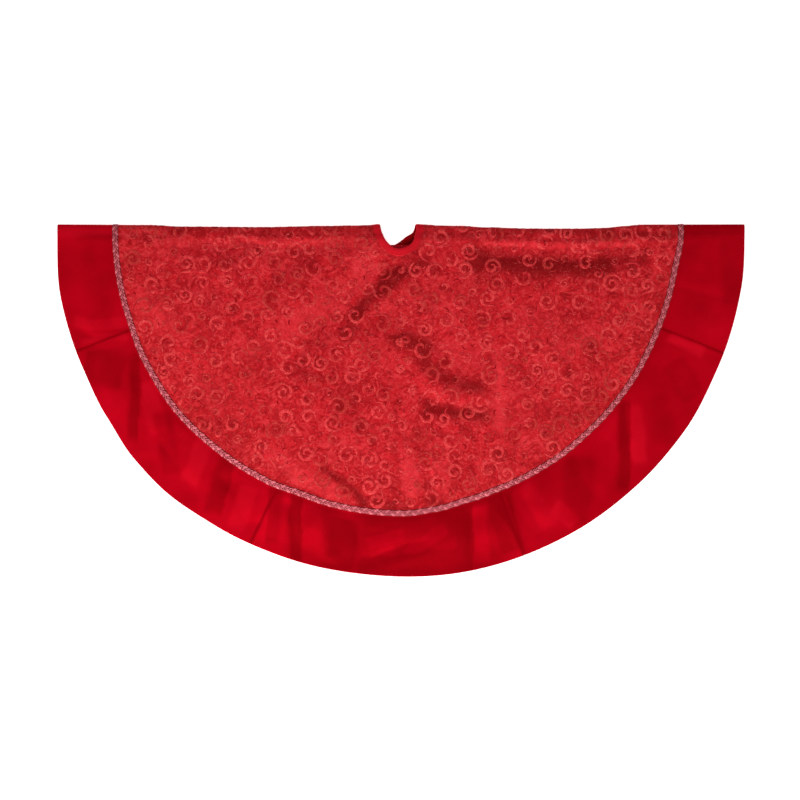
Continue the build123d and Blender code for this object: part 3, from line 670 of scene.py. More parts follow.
# --------------------------------------------------------------------------
# Materials
# --------------------------------------------------------------------------
class Nodes:
    """A short way to write node trees."""

    def __init__(self, name):
        self.material = bpy.data.materials.new(name)
        self.material.use_nodes = True
        self.tree = self.material.node_tree
        self.shader = self.tree.nodes["Principled BSDF"]
        self.uv = self.new("ShaderNodeUVMap")
        self.uv.uv_map = "flat"
        self.flat = self.uv.outputs[0]

    def new(self, kind, **values):
        node = self.tree.nodes.new(kind)
        for key, value in values.items():
            setattr(node, key, value)
        return node

    def link(self, a, b):
        self.tree.links.new(a, b)

    def set(self, **values):
        for key, value in values.items():
            self.shader.inputs[key.replace("_", " ")].default_value = value

    def noise(self, scale, detail=3.0, rough=0.55, vector=None, swirl=0.0):
        n = self.new("ShaderNodeTexNoise")
        n.inputs["Distortion"].default_value = swirl
        n.inputs["Scale"].default_value = scale
        n.inputs["Detail"].default_value = detail
        n.inputs["Roughness"].default_value = rough
        self.link(vector or self.flat, n.inputs["Vector"])
        return n.outputs["Fac"]

    def cells(self, scale, feature="F1", output="Distance", vector=None):
        n = self.new("ShaderNodeTexVoronoi", feature=feature)
        n.inputs["Scale"].default_value = scale
        self.link(vector or self.flat, n.inputs["Vector"])
        return n.outputs[output]

    def wave(self, scale, axis="X", vector=None, distortion=0.0):
        n = self.new("ShaderNodeTexWave", bands_direction=axis)
        n.inputs["Scale"].default_value = scale
        n.inputs["Distortion"].default_value = distortion
        self.link(vector or self.flat, n.inputs["Vector"])
        return n.outputs["Fac"]

    def ramp(self, value, stops):
        n = self.new("ShaderNodeValToRGB")
        e = n.color_ramp.elements
        while len(e) < len(stops):
            e.new(0.5)
        for i, (at, colour) in enumerate(stops):
            e[i].position = at
            e[i].color = (*colour, 1.0)
        self.link(value, n.inputs["Fac"])
        return n.outputs["Color"]

    def mix(self, a, b, share, mode="MIX"):
        n = self.new("ShaderNodeMix", data_type="RGBA", blend_type=mode)
        for value, socket in ((share, n.inputs[0]), (a, n.inputs[6]), (b, n.inputs[7])):
            if isinstance(value, (int, float)):
                socket.default_value = value
            elif isinstance(value, tuple):
                socket.default_value = (*value, 1.0)
            else:
                self.link(value, socket)
        return n.outputs[2]

    def math(self, op, a, b=0.0, c=None):
        n = self.new("ShaderNodeMath", operation=op)
        for i, value in enumerate((a, b) if c is None else (a, b, c)):
            if isinstance(value, (int, float)):
                n.inputs[i].default_value = value
            else:
                self.link(value, n.inputs[i])
        return n.outputs[0]

    def span(self, value, lo, hi, to_lo, to_hi):
        n = self.new("ShaderNodeMapRange")
        self.link(value, n.inputs[0])
        for i, v in enumerate((lo, hi, to_lo, to_hi)):
            n.inputs[i + 1].default_value = v
        return n.outputs[0]

    def tone(self, colour, dark, light, down=0.85, up=0.6):
        """Shift a colour darker or lighter by the piece's painted light and shade and its random tone."""
        n = self.new("ShaderNodeAttribute")
        n.attribute_name = "tone"
        value = n.outputs["Fac"]
        colour = self.mix(colour, dark, self.span(value, 0.0, -1.0, 0.0, down))
        return self.mix(colour, light, self.span(value, 0.0, 1.0, 0.0, up))

    def bump(self, height, strength=0.3, distance=0.0005, normal=None):
        n = self.new("ShaderNodeBump")
        n.inputs["Strength"].default_value = strength
        n.inputs["Distance"].default_value = distance
        self.link(height, n.inputs["Height"])
        if normal is not None:
            self.link(normal, n.inputs["Normal"])
        return n.outputs["Normal"]


def stretched(m, sx, sy):
    n = m.new("ShaderNodeMapping")
    n.inputs["Scale"].default_value = (sx, sy, 1.0)
    m.link(m.flat, n.inputs["Vector"])
    return n.outputs["Vector"]


def panel_material():
    m = Nodes("printed_cloth")
    broad = m.noise(14.0, 4.0, 0.6)
    blotch = m.noise(42.0, 3.0, 0.6, swirl=1.6)
    leaf = m.noise(62.0, 3.0, 0.55, swirl=2.8)
    mottle = m.noise(260.0, 3.0, 0.65)
    pile = m.noise(900.0, 2.0, 0.6)
    colour = m.mix((0.440, 0.0046, 0.0090), (0.610, 0.0092, 0.0165), m.span(broad, 0.3, 0.7, 0.0, 1.0))
    colour = m.mix(colour, (0.270, 0.0008, 0.0032), m.span(blotch, 0.49, 0.30, 0.0, 0.8))
    colour = m.mix(colour, (0.700, 0.032, 0.042), m.span(blotch, 0.52, 0.68, 0.0, 0.65))
    colour = m.mix(colour, (0.740, 0.046, 0.050), m.span(leaf, 0.54, 0.64, 0.0, 0.5))
    colour = m.mix(colour, (0.300, 0.0010, 0.0036), m.span(leaf, 0.46, 0.36, 0.0, 0.7))
    colour = m.mix(colour, (0.740, 0.055, 0.065), m.span(mottle, 0.58, 0.82, 0.0, 0.25))
    colour = m.mix(colour, (0.260, 0.001, 0.004), m.span(mottle, 0.42, 0.22, 0.0, 0.25))
    sparkle = m.cells(620.0, output="Color")
    split = m.new("ShaderNodeSeparateColor")
    m.link(sparkle, split.inputs[0])
    # painted light and shade: the printed cloth made darker where the folds lie in shade and lighter where they catch
    # the light
    colour = m.tone(colour, (0.215, 0.0004, 0.0014), (0.82, 0.034, 0.046), 0.82, 0.5)
    colour = m.mix(colour, (0.80, 0.14, 0.16), m.span(split.outputs[0], 0.95, 1.0, 0.0, 0.3))
    m.link(colour, m.shader.inputs["Base Color"])
    m.set(Sheen_Weight=0.10, Sheen_Roughness=0.4, Specular_IOR_Level=0.10)
    m.shader.inputs["Sheen Tint"].default_value = (1.0, 0.20, 0.24, 1.0)
    m.link(m.span(pile, 0.3, 0.7, 0.62, 0.86), m.shader.inputs["Roughness"])
    first = m.bump(pile, 0.5, 0.0006)
    second = m.bump(leaf, 0.35, 0.0025, first)
    m.link(m.bump(mottle, 0.3, 0.0012, second), m.shader.inputs["Normal"])
    return m.material


def satin_material(name="satin", dark=1.0):
    m = Nodes(name)
    broad = m.noise(10.0, 3.0, 0.5)
    thread = m.noise(1.0, 2.0, 0.6, stretched(m, 260.0, 2600.0))
    colour = m.mix((0.420 * dark, 0.0004, 0.0064), (0.560 * dark, 0.0008, 0.0098), m.span(broad, 0.3, 0.7, 0.0, 1.0))
    colour = m.mix(colour, (0.72 * dark, 0.003, 0.016), m.span(thread, 0.55, 0.85, 0.0, 0.3))
    if name == "satin_tape":
        colour = m.mix(colour, (0.66, 0.020, 0.032), m.span(broad, 0.0, 1.0, 0.35, 0.55))
    if name == "satin":
        # painted light and shade on the satin's facets
        colour = m.tone(colour, (0.235 * dark, 0.0002, 0.0024), (0.82 * dark, 0.006, 0.022), 0.72, 0.5)
    m.link(colour, m.shader.inputs["Base Color"])
    m.set(Metallic=0.30, Specular_IOR_Level=0.10, Anisotropic=0.45)
    m.shader.inputs["Specular Tint"].default_value = (1.0, 0.06, 0.12, 1.0)
    m.link(m.span(thread, 0.3, 0.8, 0.34, 0.46), m.shader.inputs["Roughness"])
    weave = m.math("MULTIPLY", m.wave(420.0, "X"), m.wave(420.0, "Y"))
    first = m.bump(weave, 0.18, 0.0002)
    m.link(m.bump(thread, 0.12, 0.0003, first), m.shader.inputs["Normal"])
    return m.material


def lining_material():
    m = Nodes("lining_cloth")
    broad = m.noise(12.0, 3.0, 0.5)
    weave = m.math("MULTIPLY", m.wave(300.0, "X"), m.wave(300.0, "Y"))
    colour = m.mix((0.250, 0.0008, 0.0026), (0.330, 0.0012, 0.0036), m.span(broad, 0.3, 0.7, 0.0, 1.0))
    colour = m.mix(colour, (0.16, 0.0005, 0.0018), m.span(weave, 0.0, 0.25, 0.4, 0.0))
    m.link(colour, m.shader.inputs["Base Color"])
    m.set(Specular_IOR_Level=0.03)
    m.link(m.span(weave, 0.0, 1.0, 0.85, 0.68), m.shader.inputs["Roughness"])
    m.link(m.bump(weave, 0.35, 0.0003), m.shader.inputs["Normal"])
    return m.material


def glitter_material(name, base, bright, grain=900.0, metal=0.35):
    m = Nodes(name)
    cells = m.cells(grain, output="Color")
    split = m.new("ShaderNodeSeparateColor")
    m.link(cells, split.inputs[0])
    colour = m.mix(base, bright, m.span(split.outputs[1], 0.35, 1.0, 0.0, 1.0))
    colour = m.mix(colour, tuple(0.45 * c for c in base), m.span(split.outputs[2], 0.72, 1.0, 0.0, 0.8))
    m.link(colour, m.shader.inputs["Base Color"])
    m.set(Metallic=metal, Specular_IOR_Level=0.5)
    m.link(m.span(split.outputs[0], 0.0, 1.0, 0.25, 0.62), m.shader.inputs["Roughness"])
    m.link(m.bump(split.outputs[0], 0.7, 0.0004), m.shader.inputs["Normal"])
    return m.material


def curl_material(name="curl_print", strength=1.0):
    """Glitter print: rosy where it catches the light, browner and duller in places."""
    m = Nodes(name)
    cells = m.cells(800.0, output="Color")
    split = m.new("ShaderNodeSeparateColor")
    m.link(cells, split.inputs[0])
    patch = m.noise(13.0, 3.0, 0.6)
    fine = m.noise(120.0, 2.0, 0.6)
    colour = m.mix((0.62, 0.020, 0.026), (0.68 + 0.14 * strength, 0.030 + 0.055 * strength, 0.036 + 0.048 * strength), m.span(split.outputs[1], 0.2, 1.0, 0.0, 1.0))
    dull = m.mix((0.41, 0.014, 0.014), (0.55, 0.046, 0.040), m.span(split.outputs[1], 0.2, 1.0, 0.0, 1.0))
    colour = m.mix(colour, dull, m.span(patch, 0.52, 0.42, 0.0, 0.85))
    colour = m.mix(colour, (0.46, 0.008, 0.016), m.span(fine, 0.53, 0.38, 0.0, 0.9))
    m.link(colour, m.shader.inputs["Base Color"])
    m.set(Metallic=0.0, Specular_IOR_Level=0.10)
    m.shader.inputs["Specular Tint"].default_value = (1.0, 0.5, 0.5, 1.0)
    m.link(m.span(split.outputs[0], 0.0, 1.0, 0.35, 0.65), m.shader.inputs["Roughness"])
    m.link(m.bump(split.outputs[0], 0.6, 0.0004), m.shader.inputs["Normal"])
    return m.material


def thread_material(name, colour, metal, rough, twist=900.0, shine=0.3):
    m = Nodes(name)
    fibre = m.noise(twist, 2.0, 0.6)
    broad = m.noise(60.0, 2.0, 0.5)
    c = m.mix(tuple(0.62 * v for v in colour), colour, m.span(fibre, 0.35, 0.65, 0.0, 1.0))
    c = m.mix(c, tuple(min(1.0, 1.25 * v + 0.03) for v in colour), m.span(broad, 0.55, 0.8, 0.0, 0.7))
    m.link(c, m.shader.inputs["Base Color"])
    m.set(Metallic=metal, Specular_IOR_Level=shine)
    m.link(m.span(fibre, 0.3, 0.7, rough, rough + 0.2), m.shader.inputs["Roughness"])
    m.link(m.bump(fibre, 0.5, 0.0003), m.shader.inputs["Normal"])
    return m.material


PANEL = panel_material()
SATIN = satin_material()
TAPE = satin_material("satin_tape", 1.18)
LINING = lining_material()
CURL = curl_material()
# dark material: a painted shadow round the curls, and the print of some of the leaves
CURL_SHADOW_AND_DARK_LEAF = thread_material("curl_painted_shadow_and_leaf_print", (0.345, 0.0022, 0.0066), 0.0, 0.8, 500.0, 0.08)
FLECK = glitter_material("glitter_flecks", (0.66, 0.07, 0.08), (0.88, 0.24, 0.22), 1500.0, 0.2)
LEAF = curl_material("leaf_print", 0.55)
BRAID_A = thread_material("braid_rose_silver", (0.80, 0.165, 0.200), 0.35, 0.34)
BRAID_B = thread_material("braid_red_metal", (0.25, 0.008, 0.016), 0.3, 0.42)
THREAD = thread_material("sewing_thread", (0.42, 0.012, 0.02), 0.0, 0.6)
NYLON = thread_material("closure_nylon", (0.24, 0.006, 0.012), 0.0, 0.55, 500.0)


def paint(piece, *materials, slot=None):
    for material in materials:
        piece.data.materials.append(material)
    return piece


# --------------------------------------------------------------------------
# Panels and linings
# --------------------------------------------------------------------------
# the hole's edge by angle from the right end of the fold: pulled to the left on the front,
# and the right wing lies a little way into the hole
def neck_offset(cols, side):
    """How far the neck's edge lies outside R_HOLE at each column."""
    mid = np.where(cols.kind == ROLL, 0.0, cols.a0 * (1 - cols.t) + cols.a1 * cols.t)
    mid = mid + (1 - mid / 90) * float(fold_angle(side, 27.0))
    whole = mid if side == RIGHT else 180 - mid
    front, back = table(NECK_KEYS, NECK_FRONT, whole), table(NECK_BACK_KEYS, NECK_BACK, whole)
    turn = np.where(cols.kind == BACK, 1.0, np.where(cols.kind == ROLL, smooth(cols.t / 180.0), 0.0))
    return front * (1 - turn) + back * turn - R_HOLE


def radii_between(cols, side, fraction, neck_add, braid_add, outer=braid_radius):
    mid = np.where(cols.kind == ROLL, 0.0, cols.a0 * (1 - cols.t) + cols.a1 * cols.t)
    whole = mid if side == RIGHT else 180 - mid
    lo = R_NECK + neck_add + neck_offset(cols, side)
    hi = outer(whole) + braid_add
    return lo[:, None] * (1 - fraction[None, :]) + hi[:, None] * fraction[None, :]


PIECES = {}

for side in (LEFT, RIGHT):
    w = word(side)
    wing = w + "_wing"
    front_cols = Columns([part(FRONT, np.linspace(0, 1, 281), 90, 0), part(ROLL, ROLL_FINE)])
    fr = radii_between(front_cols, side, np.linspace(0, 1, 157), 0.8, 2.0)
    p = layer(f"panel_{w}_front", side, front_cols, fr, 0.0, -CLOTH)
    add_painted_shade_and_tone(p)
    paint(p, PANEL, slot="printed_panel")
    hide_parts("front_panel")
    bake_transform(p)
    PIECES[p.name] = p

    back_cols = Columns([part(BACK, np.linspace(0, 1, 158), 0, 90)])
    br = radii_between(back_cols, side, np.linspace(0, 1, 100), 0.8, 2.0)
    p = layer(f"panel_{w}_wing", side, back_cols, br, 0.0, -CLOTH)
    add_painted_shade_and_tone(p)
    paint(p, PANEL, slot="printed_panel")
    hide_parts(f"{w}_panel")
    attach(p, wing)
    PIECES[p.name] = p

    cols = whole_side(5.5, 6.5, roll=ROLL_COARSE)
    lr = radii_between(cols, side, np.linspace(0, 1, 96), 0.8, -12.6, rim_radius)
    p = layer(f"lining_{w}", side, cols, lr, -1.15, -1.60)
    paint(p, LINING, slot="lining")
    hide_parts("front_lining", f"{w}_lining")
    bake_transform(p)
    PIECES[p.name] = p


# --------------------------------------------------------------------------
# Satin border
# --------------------------------------------------------------------------
GAP = 0.0005        # degrees left out on each side of a seam


def spaced(length, step, fine_start=True, fine_end=True):
    """Places along a length, closer near a seam."""
    near = [0.0, 0.5, 1.2, 2.2, 3.6, 5.4]
    a = near if fine_start else [0.0]
    b = [length - v for v in reversed(near)] if fine_end else [length]
    n = max(2, int((b[0] - a[-1]) / step))
    middle = np.linspace(a[-1], b[0], n + 1)[1:-1]
    return np.concatenate([a, middle, b]) / length


def border_section(cols, side):
    mid = np.where(cols.kind == ROLL, 0.0, cols.a0 * (1 - cols.t) + cols.a1 * cols.t)
    whole = mid if side == RIGHT else 180 - mid
    b, r = braid_radius(whole)[:, None], rim_radius(whole)[:, None]
    f = np.linspace(0, 1, 36)[None, :]
    top = (b - 2.5) * (1 - f) + (r - 1.4) * f
    top_h = -0.35 + 0.35 * smooth(f * 16)
    edge = r - np.array([[0.75, 0.25, 0.0]])
    edge_h = np.array([[-0.08, -0.32, -0.70]])
    under = r - np.array([[0.25, 0.75, 1.4, 6.0, 11.6, 12.1]])
    under_h = np.array([[-1.08, -1.32, -1.42, -1.44, -1.42, -0.95]])
    g = np.linspace(1, 0, 34)[None, 1:]
    inner = (b - 2.5) * (1 - g) + (r - 12.1) * g
    inner_h = -CLOTH + 0 * g
    radii = np.concatenate([top, edge, under, inner], 1)
    h = np.concatenate([top_h, edge_h, under_h, inner_h], 1)
    return radii, np.broadcast_to(h, radii.shape), 39


def border(name, side, parts, nodes, spans=None, rides=None, flat=(0.12, 0.48)):
    cols = Columns(parts)
    radii, h, half = border_section(cols, side)
    points, uv = surface(side, radii, cols, h)
    p = swept(name, points, uv, side, half)
    add_painted_shade_and_tone(p)
    paint(p, SATIN, slot="satin_border")
    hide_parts(*nodes)
    if spans:
        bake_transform(p)
    else:
        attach(p, rides)
    PIECES[name] = p
    return p


def run(kind, a0, a1, step=3.0, fine_start=True, fine_end=True, inset0=True, inset1=True):
    """One part of a border between two angles, drawn back a little from its seams."""
    turn = 1 if a1 > a0 else -1
    b0 = a0 + turn * GAP if inset0 else a0
    b1 = a1 - turn * GAP if inset1 else a1
    return part(kind, spaced(math.radians(abs(a1 - a0)) * 560, step, fine_start, fine_end), b0, b1)


s1, s2, s3, s4 = FRONT_SEAMS
t1, t2, t3, t4 = BACK_SEAMS
border("border_front_right", RIGHT, [run(FRONT, s2, s1)], ["front_border_right"], rides="front_half")
border("border_front_centre", RIGHT, [run(FRONT, s3, s2)], ["front_border_centre"], rides="front_half")
border("border_front_left", LEFT, [run(FRONT, 180 - s3, 180 - s4)], ["front_border_left"], rides="front_half")
border("border_right_over_fold", RIGHT,

       [run(FRONT, s1, 0, fine_end=False, inset1=False), part(ROLL, ROLL_FINE),
        tuple(v[1:] for v in run(BACK, 0, t1, fine_start=False, inset0=False))],
       ["front_border_right_end", "right_border_fold_end"], spans="right_wing")
border("border_left_over_fold", LEFT,
       [run(FRONT, 180 - s4, 0, fine_end=False, inset1=False), part(ROLL, ROLL_FINE),
        tuple(v[1:] for v in run(BACK, 0, 180 - t4, fine_start=False, inset0=False))],
       ["front_border_left_end", "left_border_fold_end"], spans="left_wing")
border("border_right_middle", RIGHT, [run(BACK, t1, t2, 4.0)], ["right_border_middle"], rides="right_wing")
border("border_right_slit_end", RIGHT, [run(BACK, t2, 90, 4.0, inset1=False)], ["right_border_slit_end"], rides="right_wing")
border("border_left_middle", LEFT, [run(BACK, 180 - t4, 180 - t3, 4.0)], ["left_border_middle"], rides="left_wing")
border("border_left_slit_end", LEFT, [run(BACK, 180 - t3, 90, 4.0, inset1=False)], ["left_border_slit_end"], rides="left_wing")


# --------------------------------------------------------------------------
# Neck binding
# --------------------------------------------------------------------------
for side in (LEFT, RIGHT):
    w = word(side)
    cols = Columns([part(FRONT, np.linspace(0, 1, 61), 90, 0), part(ROLL, np.linspace(0, 180, 15)[1:]),
                    part(BACK, np.linspace(0, 1, 50)[1:], 0, 90)])
    section = [(12.8, 0.03), (12.2, 0.2), (11.0, 0.34), (8.6, 0.56), (6.2, 0.76), (3.6, 0.82), (1.4, 0.64), (0.3, 0.1), (0, -0.6),
               (0.3, -1.35), (1.4, -1.85), (3.6, -2.02), (6.2, -2.06), (8.6, -2.04), (11.0, -1.98), (12.2, -1.88), (12.6, -1.75), (12.8, -1.62)]
    r = R_HOLE + np.array([[s[0] for s in section]]) + neck_offset(cols, side)[:, None]
    pucker = Noise(131 + side)(np.arange(len(cols)) * 1.0, 0 * np.arange(len(cols)), 4.5)[:, None]
    h = np.array([[s[1] for s in section]]) + 0.22 * pucker * (np.array([[s[1] for s in section]]) > 0.4)
    # pressed flatter where the skirt lies on it
    turn = np.where(cols.kind == BACK, 1.0, np.where(cols.kind == ROLL, smooth(cols.t / 180.0), 0.0))[:, None]
    flatter = np.where(h > 0, 0.55 * h, np.where(h < -1.3, -1.3 + 0.6 * (h + 1.3), h))
    h = h * (1 - turn) + flatter * turn
    points, uv = surface(side, r, cols, h)
    p = swept(f"neck_binding_{w}", points, uv, side, 9)
    paint(p, TAPE, LINING, slot="satin_tape")
    # the binding's inner faces take the darker lining cloth as painted shade, where the tape lies in shade inside the
    # neck
    inner = np.zeros((len(cols) - 1, 18), int)
    inner[:, 9:17] = 1
    slots = np.zeros(len(p.data.polygons), np.int32)
    slots[:inner.size] = inner.ravel()
    p.data.polygons.foreach_set("material_index", slots)
    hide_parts("front_neck_binding", f"{w}_neck_binding")
    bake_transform(p)
    PIECES[p.name] = p


# --------------------------------------------------------------------------
# Braid: a three-strand plait of metallic threads on a narrow backing
# --------------------------------------------------------------------------
for side in (LEFT, RIGHT):
    w = word(side)
    step = 1.55
    n_front, n_back = int(500 * math.pi / 2 / step), int(500 * math.pi / 2 / (step * 1.5))
    cols = Columns([part(FRONT, np.linspace(0, 1, n_front + 1), 90, 0), part(ROLL, np.linspace(0, 180, 23)[1:]),
                    part(BACK, np.linspace(0, 1, n_back + 1)[1:], 0, 90)])
    mid = np.where(cols.kind == ROLL, 0.0, cols.a0 * (1 - cols.t) + cols.a1 * cols.t)
    whole = mid if side == RIGHT else 180 - mid
    centre = braid_radius(whole)
    line, _ = surface(side, centre[:, None], cols, np.full((len(cols), 1), 0.5))
    along = np.concatenate([[0], np.cumsum(np.linalg.norm(np.diff(line[:, 0], axis=0), axis=1))])
    wander = Noise(151)(along * side + 40.0, 0 * along, 60)
    # backing tape
    section = [(5.4, 0.02), (5.0, 0.26), (0.0, 0.32), (-5.0, 0.26), (-5.4, 0.02), (-5.4, -0.25), (-5.0, -0.3), (0.0, -0.3), (5.0, -0.3), (5.4, -0.25)]
    section = section[::-1]
    r = centre[:, None] + np.array([[s[0] for s in section]])
    h = np.zeros_like(r) + np.array([[s[1] for s in section]])
    keep = np.arange(0, len(cols), 3)
    keep = np.union1d(keep, np.nonzero(cols.kind == ROLL)[0])
    keep = np.union1d(keep, [len(cols) - 1])
    sub = Columns([(cols.kind[keep], cols.t[keep], cols.a0[keep], cols.a1[keep])])
    points, uv = surface(side, r[keep], sub, h[keep])
    p = swept(f"braid_backing_{w}", points, uv, side, 5)
    paint(p, BRAID_B, slot="metallic_braid")
    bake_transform(p)
    PIECES[p.name] = p
    # plait
    verts, faces, uvs, slots = [], [], [], []
    base, sides = 0, 5
    pitch, amp = 19.0, 3.35
    phase0 = side * 2 * np.pi * (along + 2.5 * wander) / pitch
    turn = np.where(cols.kind == BACK, 1.0, np.where(cols.kind == ROLL, smooth(cols.t / 180.0), 0.0))
    for strand in range(3):
        phase = phase0 + strand * 2 * np.pi / 3
        slope = np.abs(np.cos(phase)) * 2 * np.pi * amp / pitch
        for f, off in enumerate((-1.2, 0.0, 1.2)):
            rr = centre + amp * np.sin(phase) + off * np.sqrt(1 + slope**2)
            hh = 0.58 + 0.34 * np.sin(2 * phase) * (1 - 0.5 * turn) - 0.12 * turn + (0.07 if f == 1 else 0.0)
            beta = np.arange(sides) * 2 * np.pi / sides
            r = rr[:, None] + 0.68 * np.sqrt(1 + slope[:, None] ** 2) * np.cos(beta)[None, :]
            h = hh[:, None] + 0.25 * np.sin(beta)[None, :]
            points, uv = surface(side, r, cols, h)
            verts.append(points.reshape(-1, 3)); uvs.append(uv.reshape(-1, 2))
            q = grid_faces(len(cols), sides, base, closed=True, flip=side == RIGHT)
            faces.append(q)
            slots.append(np.full(len(q), 0 if (f == 1 or strand == 0) else 1))
            base += points.shape[0] * sides
    p = make(f"braid_{w}", np.vstack(verts), np.vstack(faces), np.vstack(uvs), angle=70)
    paint(p, BRAID_A, BRAID_B, slot="metallic_braid")
    p.data.polygons.foreach_set("material_index", np.concatenate(slots).astype(np.int32))
    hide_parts("front_braid", f"{w}_braid")
    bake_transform(p)
    PIECES[p.name] = p


# --------------------------------------------------------------------------
# Things laid on the cloth, placed by flat coordinates (x, and y running on
# past the fold into the back)
# --------------------------------------------------------------------------
ROLL_LENGTH = 29.6


def lay(side, x, v, h):
    """Points at flat place (x, v), h outside the outer face."""
    x, v, h = np.broadcast_arrays(np.asarray(x, float), np.asarray(v, float), np.asarray(h, float))
    edge = fold_edge(x)
    yc = edge - REACH
    psi = np.clip((v - yc) / ROLL_LENGTH, 0, 1) * np.pi
    on_front, on_back = v <= yc, v >= yc + ROLL_LENGTH
    y = np.where(on_front, v, np.where(on_back, 2 * yc + ROLL_LENGTH - v, yc + (REACH + 1.2 * h) * np.sin(psi)))
    ys = np.where(on_front | on_back, y, yc)
    top, under = H(x, ys), B(x, ys)
    c = np.cos(psi)
    zr = np.where(c >= 0, Z_FOLD + (top - Z_FOLD + h) * c, Z_FOLD + (Z_FOLD - under + h) * c)
    z = np.where(on_front, top + h, np.where(on_back, under - h, zr))
    return np.stack([x, y, z], -1)


class Bits:
    """Many small bodies gathered into one mesh."""

    def __init__(self):
        self.v, self.q, self.uv, self.slot, self.n = [], [], [], [], 0

    def add(self, points, faces, uv, slot=0):
        self.v.append(points.reshape(-1, 3)); self.uv.append(uv.reshape(-1, 2))
        self.q.append(faces + self.n); self.slot.append(np.full(len(faces), slot))
        self.n += points.reshape(-1, 3).shape[0]

    def mesh(self, name, angle=60):
        p = make(name, np.vstack(self.v), np.vstack(self.q), np.vstack(self.uv), angle=angle)
        p.data.polygons.foreach_set("material_index", np.concatenate(self.slot).astype(np.int32))
        return p


def spiral(rng, size, turns, tail, hand, turn):
    """A curl: a spiral that opens into a short tail, as points round its own middle."""
    n = int(14 + 12 * turns + 8 * tail)
    t = np.linspace(0, 1, n)
    whole = 2 * np.pi * turns
    a = t * whole
    r = size * 0.5 * (0.10 + 0.90 * t ** 0.85)
    x, y = r * np.cos(a), r * np.sin(a)
    if tail > 0:
        ang, step = whole + np.pi / 2, size * 0.075
        px, py = x[-1], y[-1]
        bend = 2 * np.pi / 26
        for k in range(int(4 + 9 * tail)):
            px, py = px + step * np.cos(ang), py + step * np.sin(ang)
            ang += bend * (0.9 - 2.4 * k / 12)
            x, y = np.append(x, px), np.append(y, py)
    y = y * hand
    c, s = np.cos(turn), np.sin(turn)
    return np.stack([c * x - s * y, s * x + c * y], -1)


def ribbon(bits, side, line, width, lift, slot=0):
    """A raised line on the cloth, thin at its ends."""
    d = np.gradient(line, axis=0)
    d /= np.maximum(np.linalg.norm(d, axis=1, keepdims=True), 1e-9)
    normal = np.stack([-d[:, 1], d[:, 0]], -1)
    w = 0.5 * width[:, None]
    off = np.concatenate([-w, -0.55 * w, 0.55 * w, w], 1)
    h = np.stack([np.full(len(line), -0.30), lift, lift, np.full(len(line), -0.30)], -1)
    x = line[:, :1] + normal[:, :1] * off
    v = line[:, 1:] + normal[:, 1:] * off
    points = lay(side, x, v, h)
    n = len(line)
    faces = [grid_faces(n, 4, closed=True, flip=True)]
    faces.append(np.array([[0, 1, 2, 3], [4 * n - 1, 4 * n - 2, 4 * n - 3, 4 * n - 4]])[:, ::-1])
    bits.add(points, np.vstack(faces), np.stack([x, v], -1), slot)


def scatter(rng, area, spacing, tries=9000):
    """Places at least spacing apart."""
    (x0, x1), (y0, y1), inside = area
    cell = spacing / math.sqrt(2)
    grid, kept = {}, []
    for _ in range(tries):
        p = (rng.uniform(x0, x1), rng.uniform(y0, y1))
        if not inside(*p):
            continue
        key = (int(p[0] // cell), int(p[1] // cell))
        if any(math.hypot(p[0] - q[0], p[1] - q[1]) < spacing
               for i in range(-2, 3) for j in range(-2, 3)
               for q in [grid.get((key[0] + i, key[1] + j))] if q):
            continue
        grid[key] = p
        kept.append(p)
    return kept


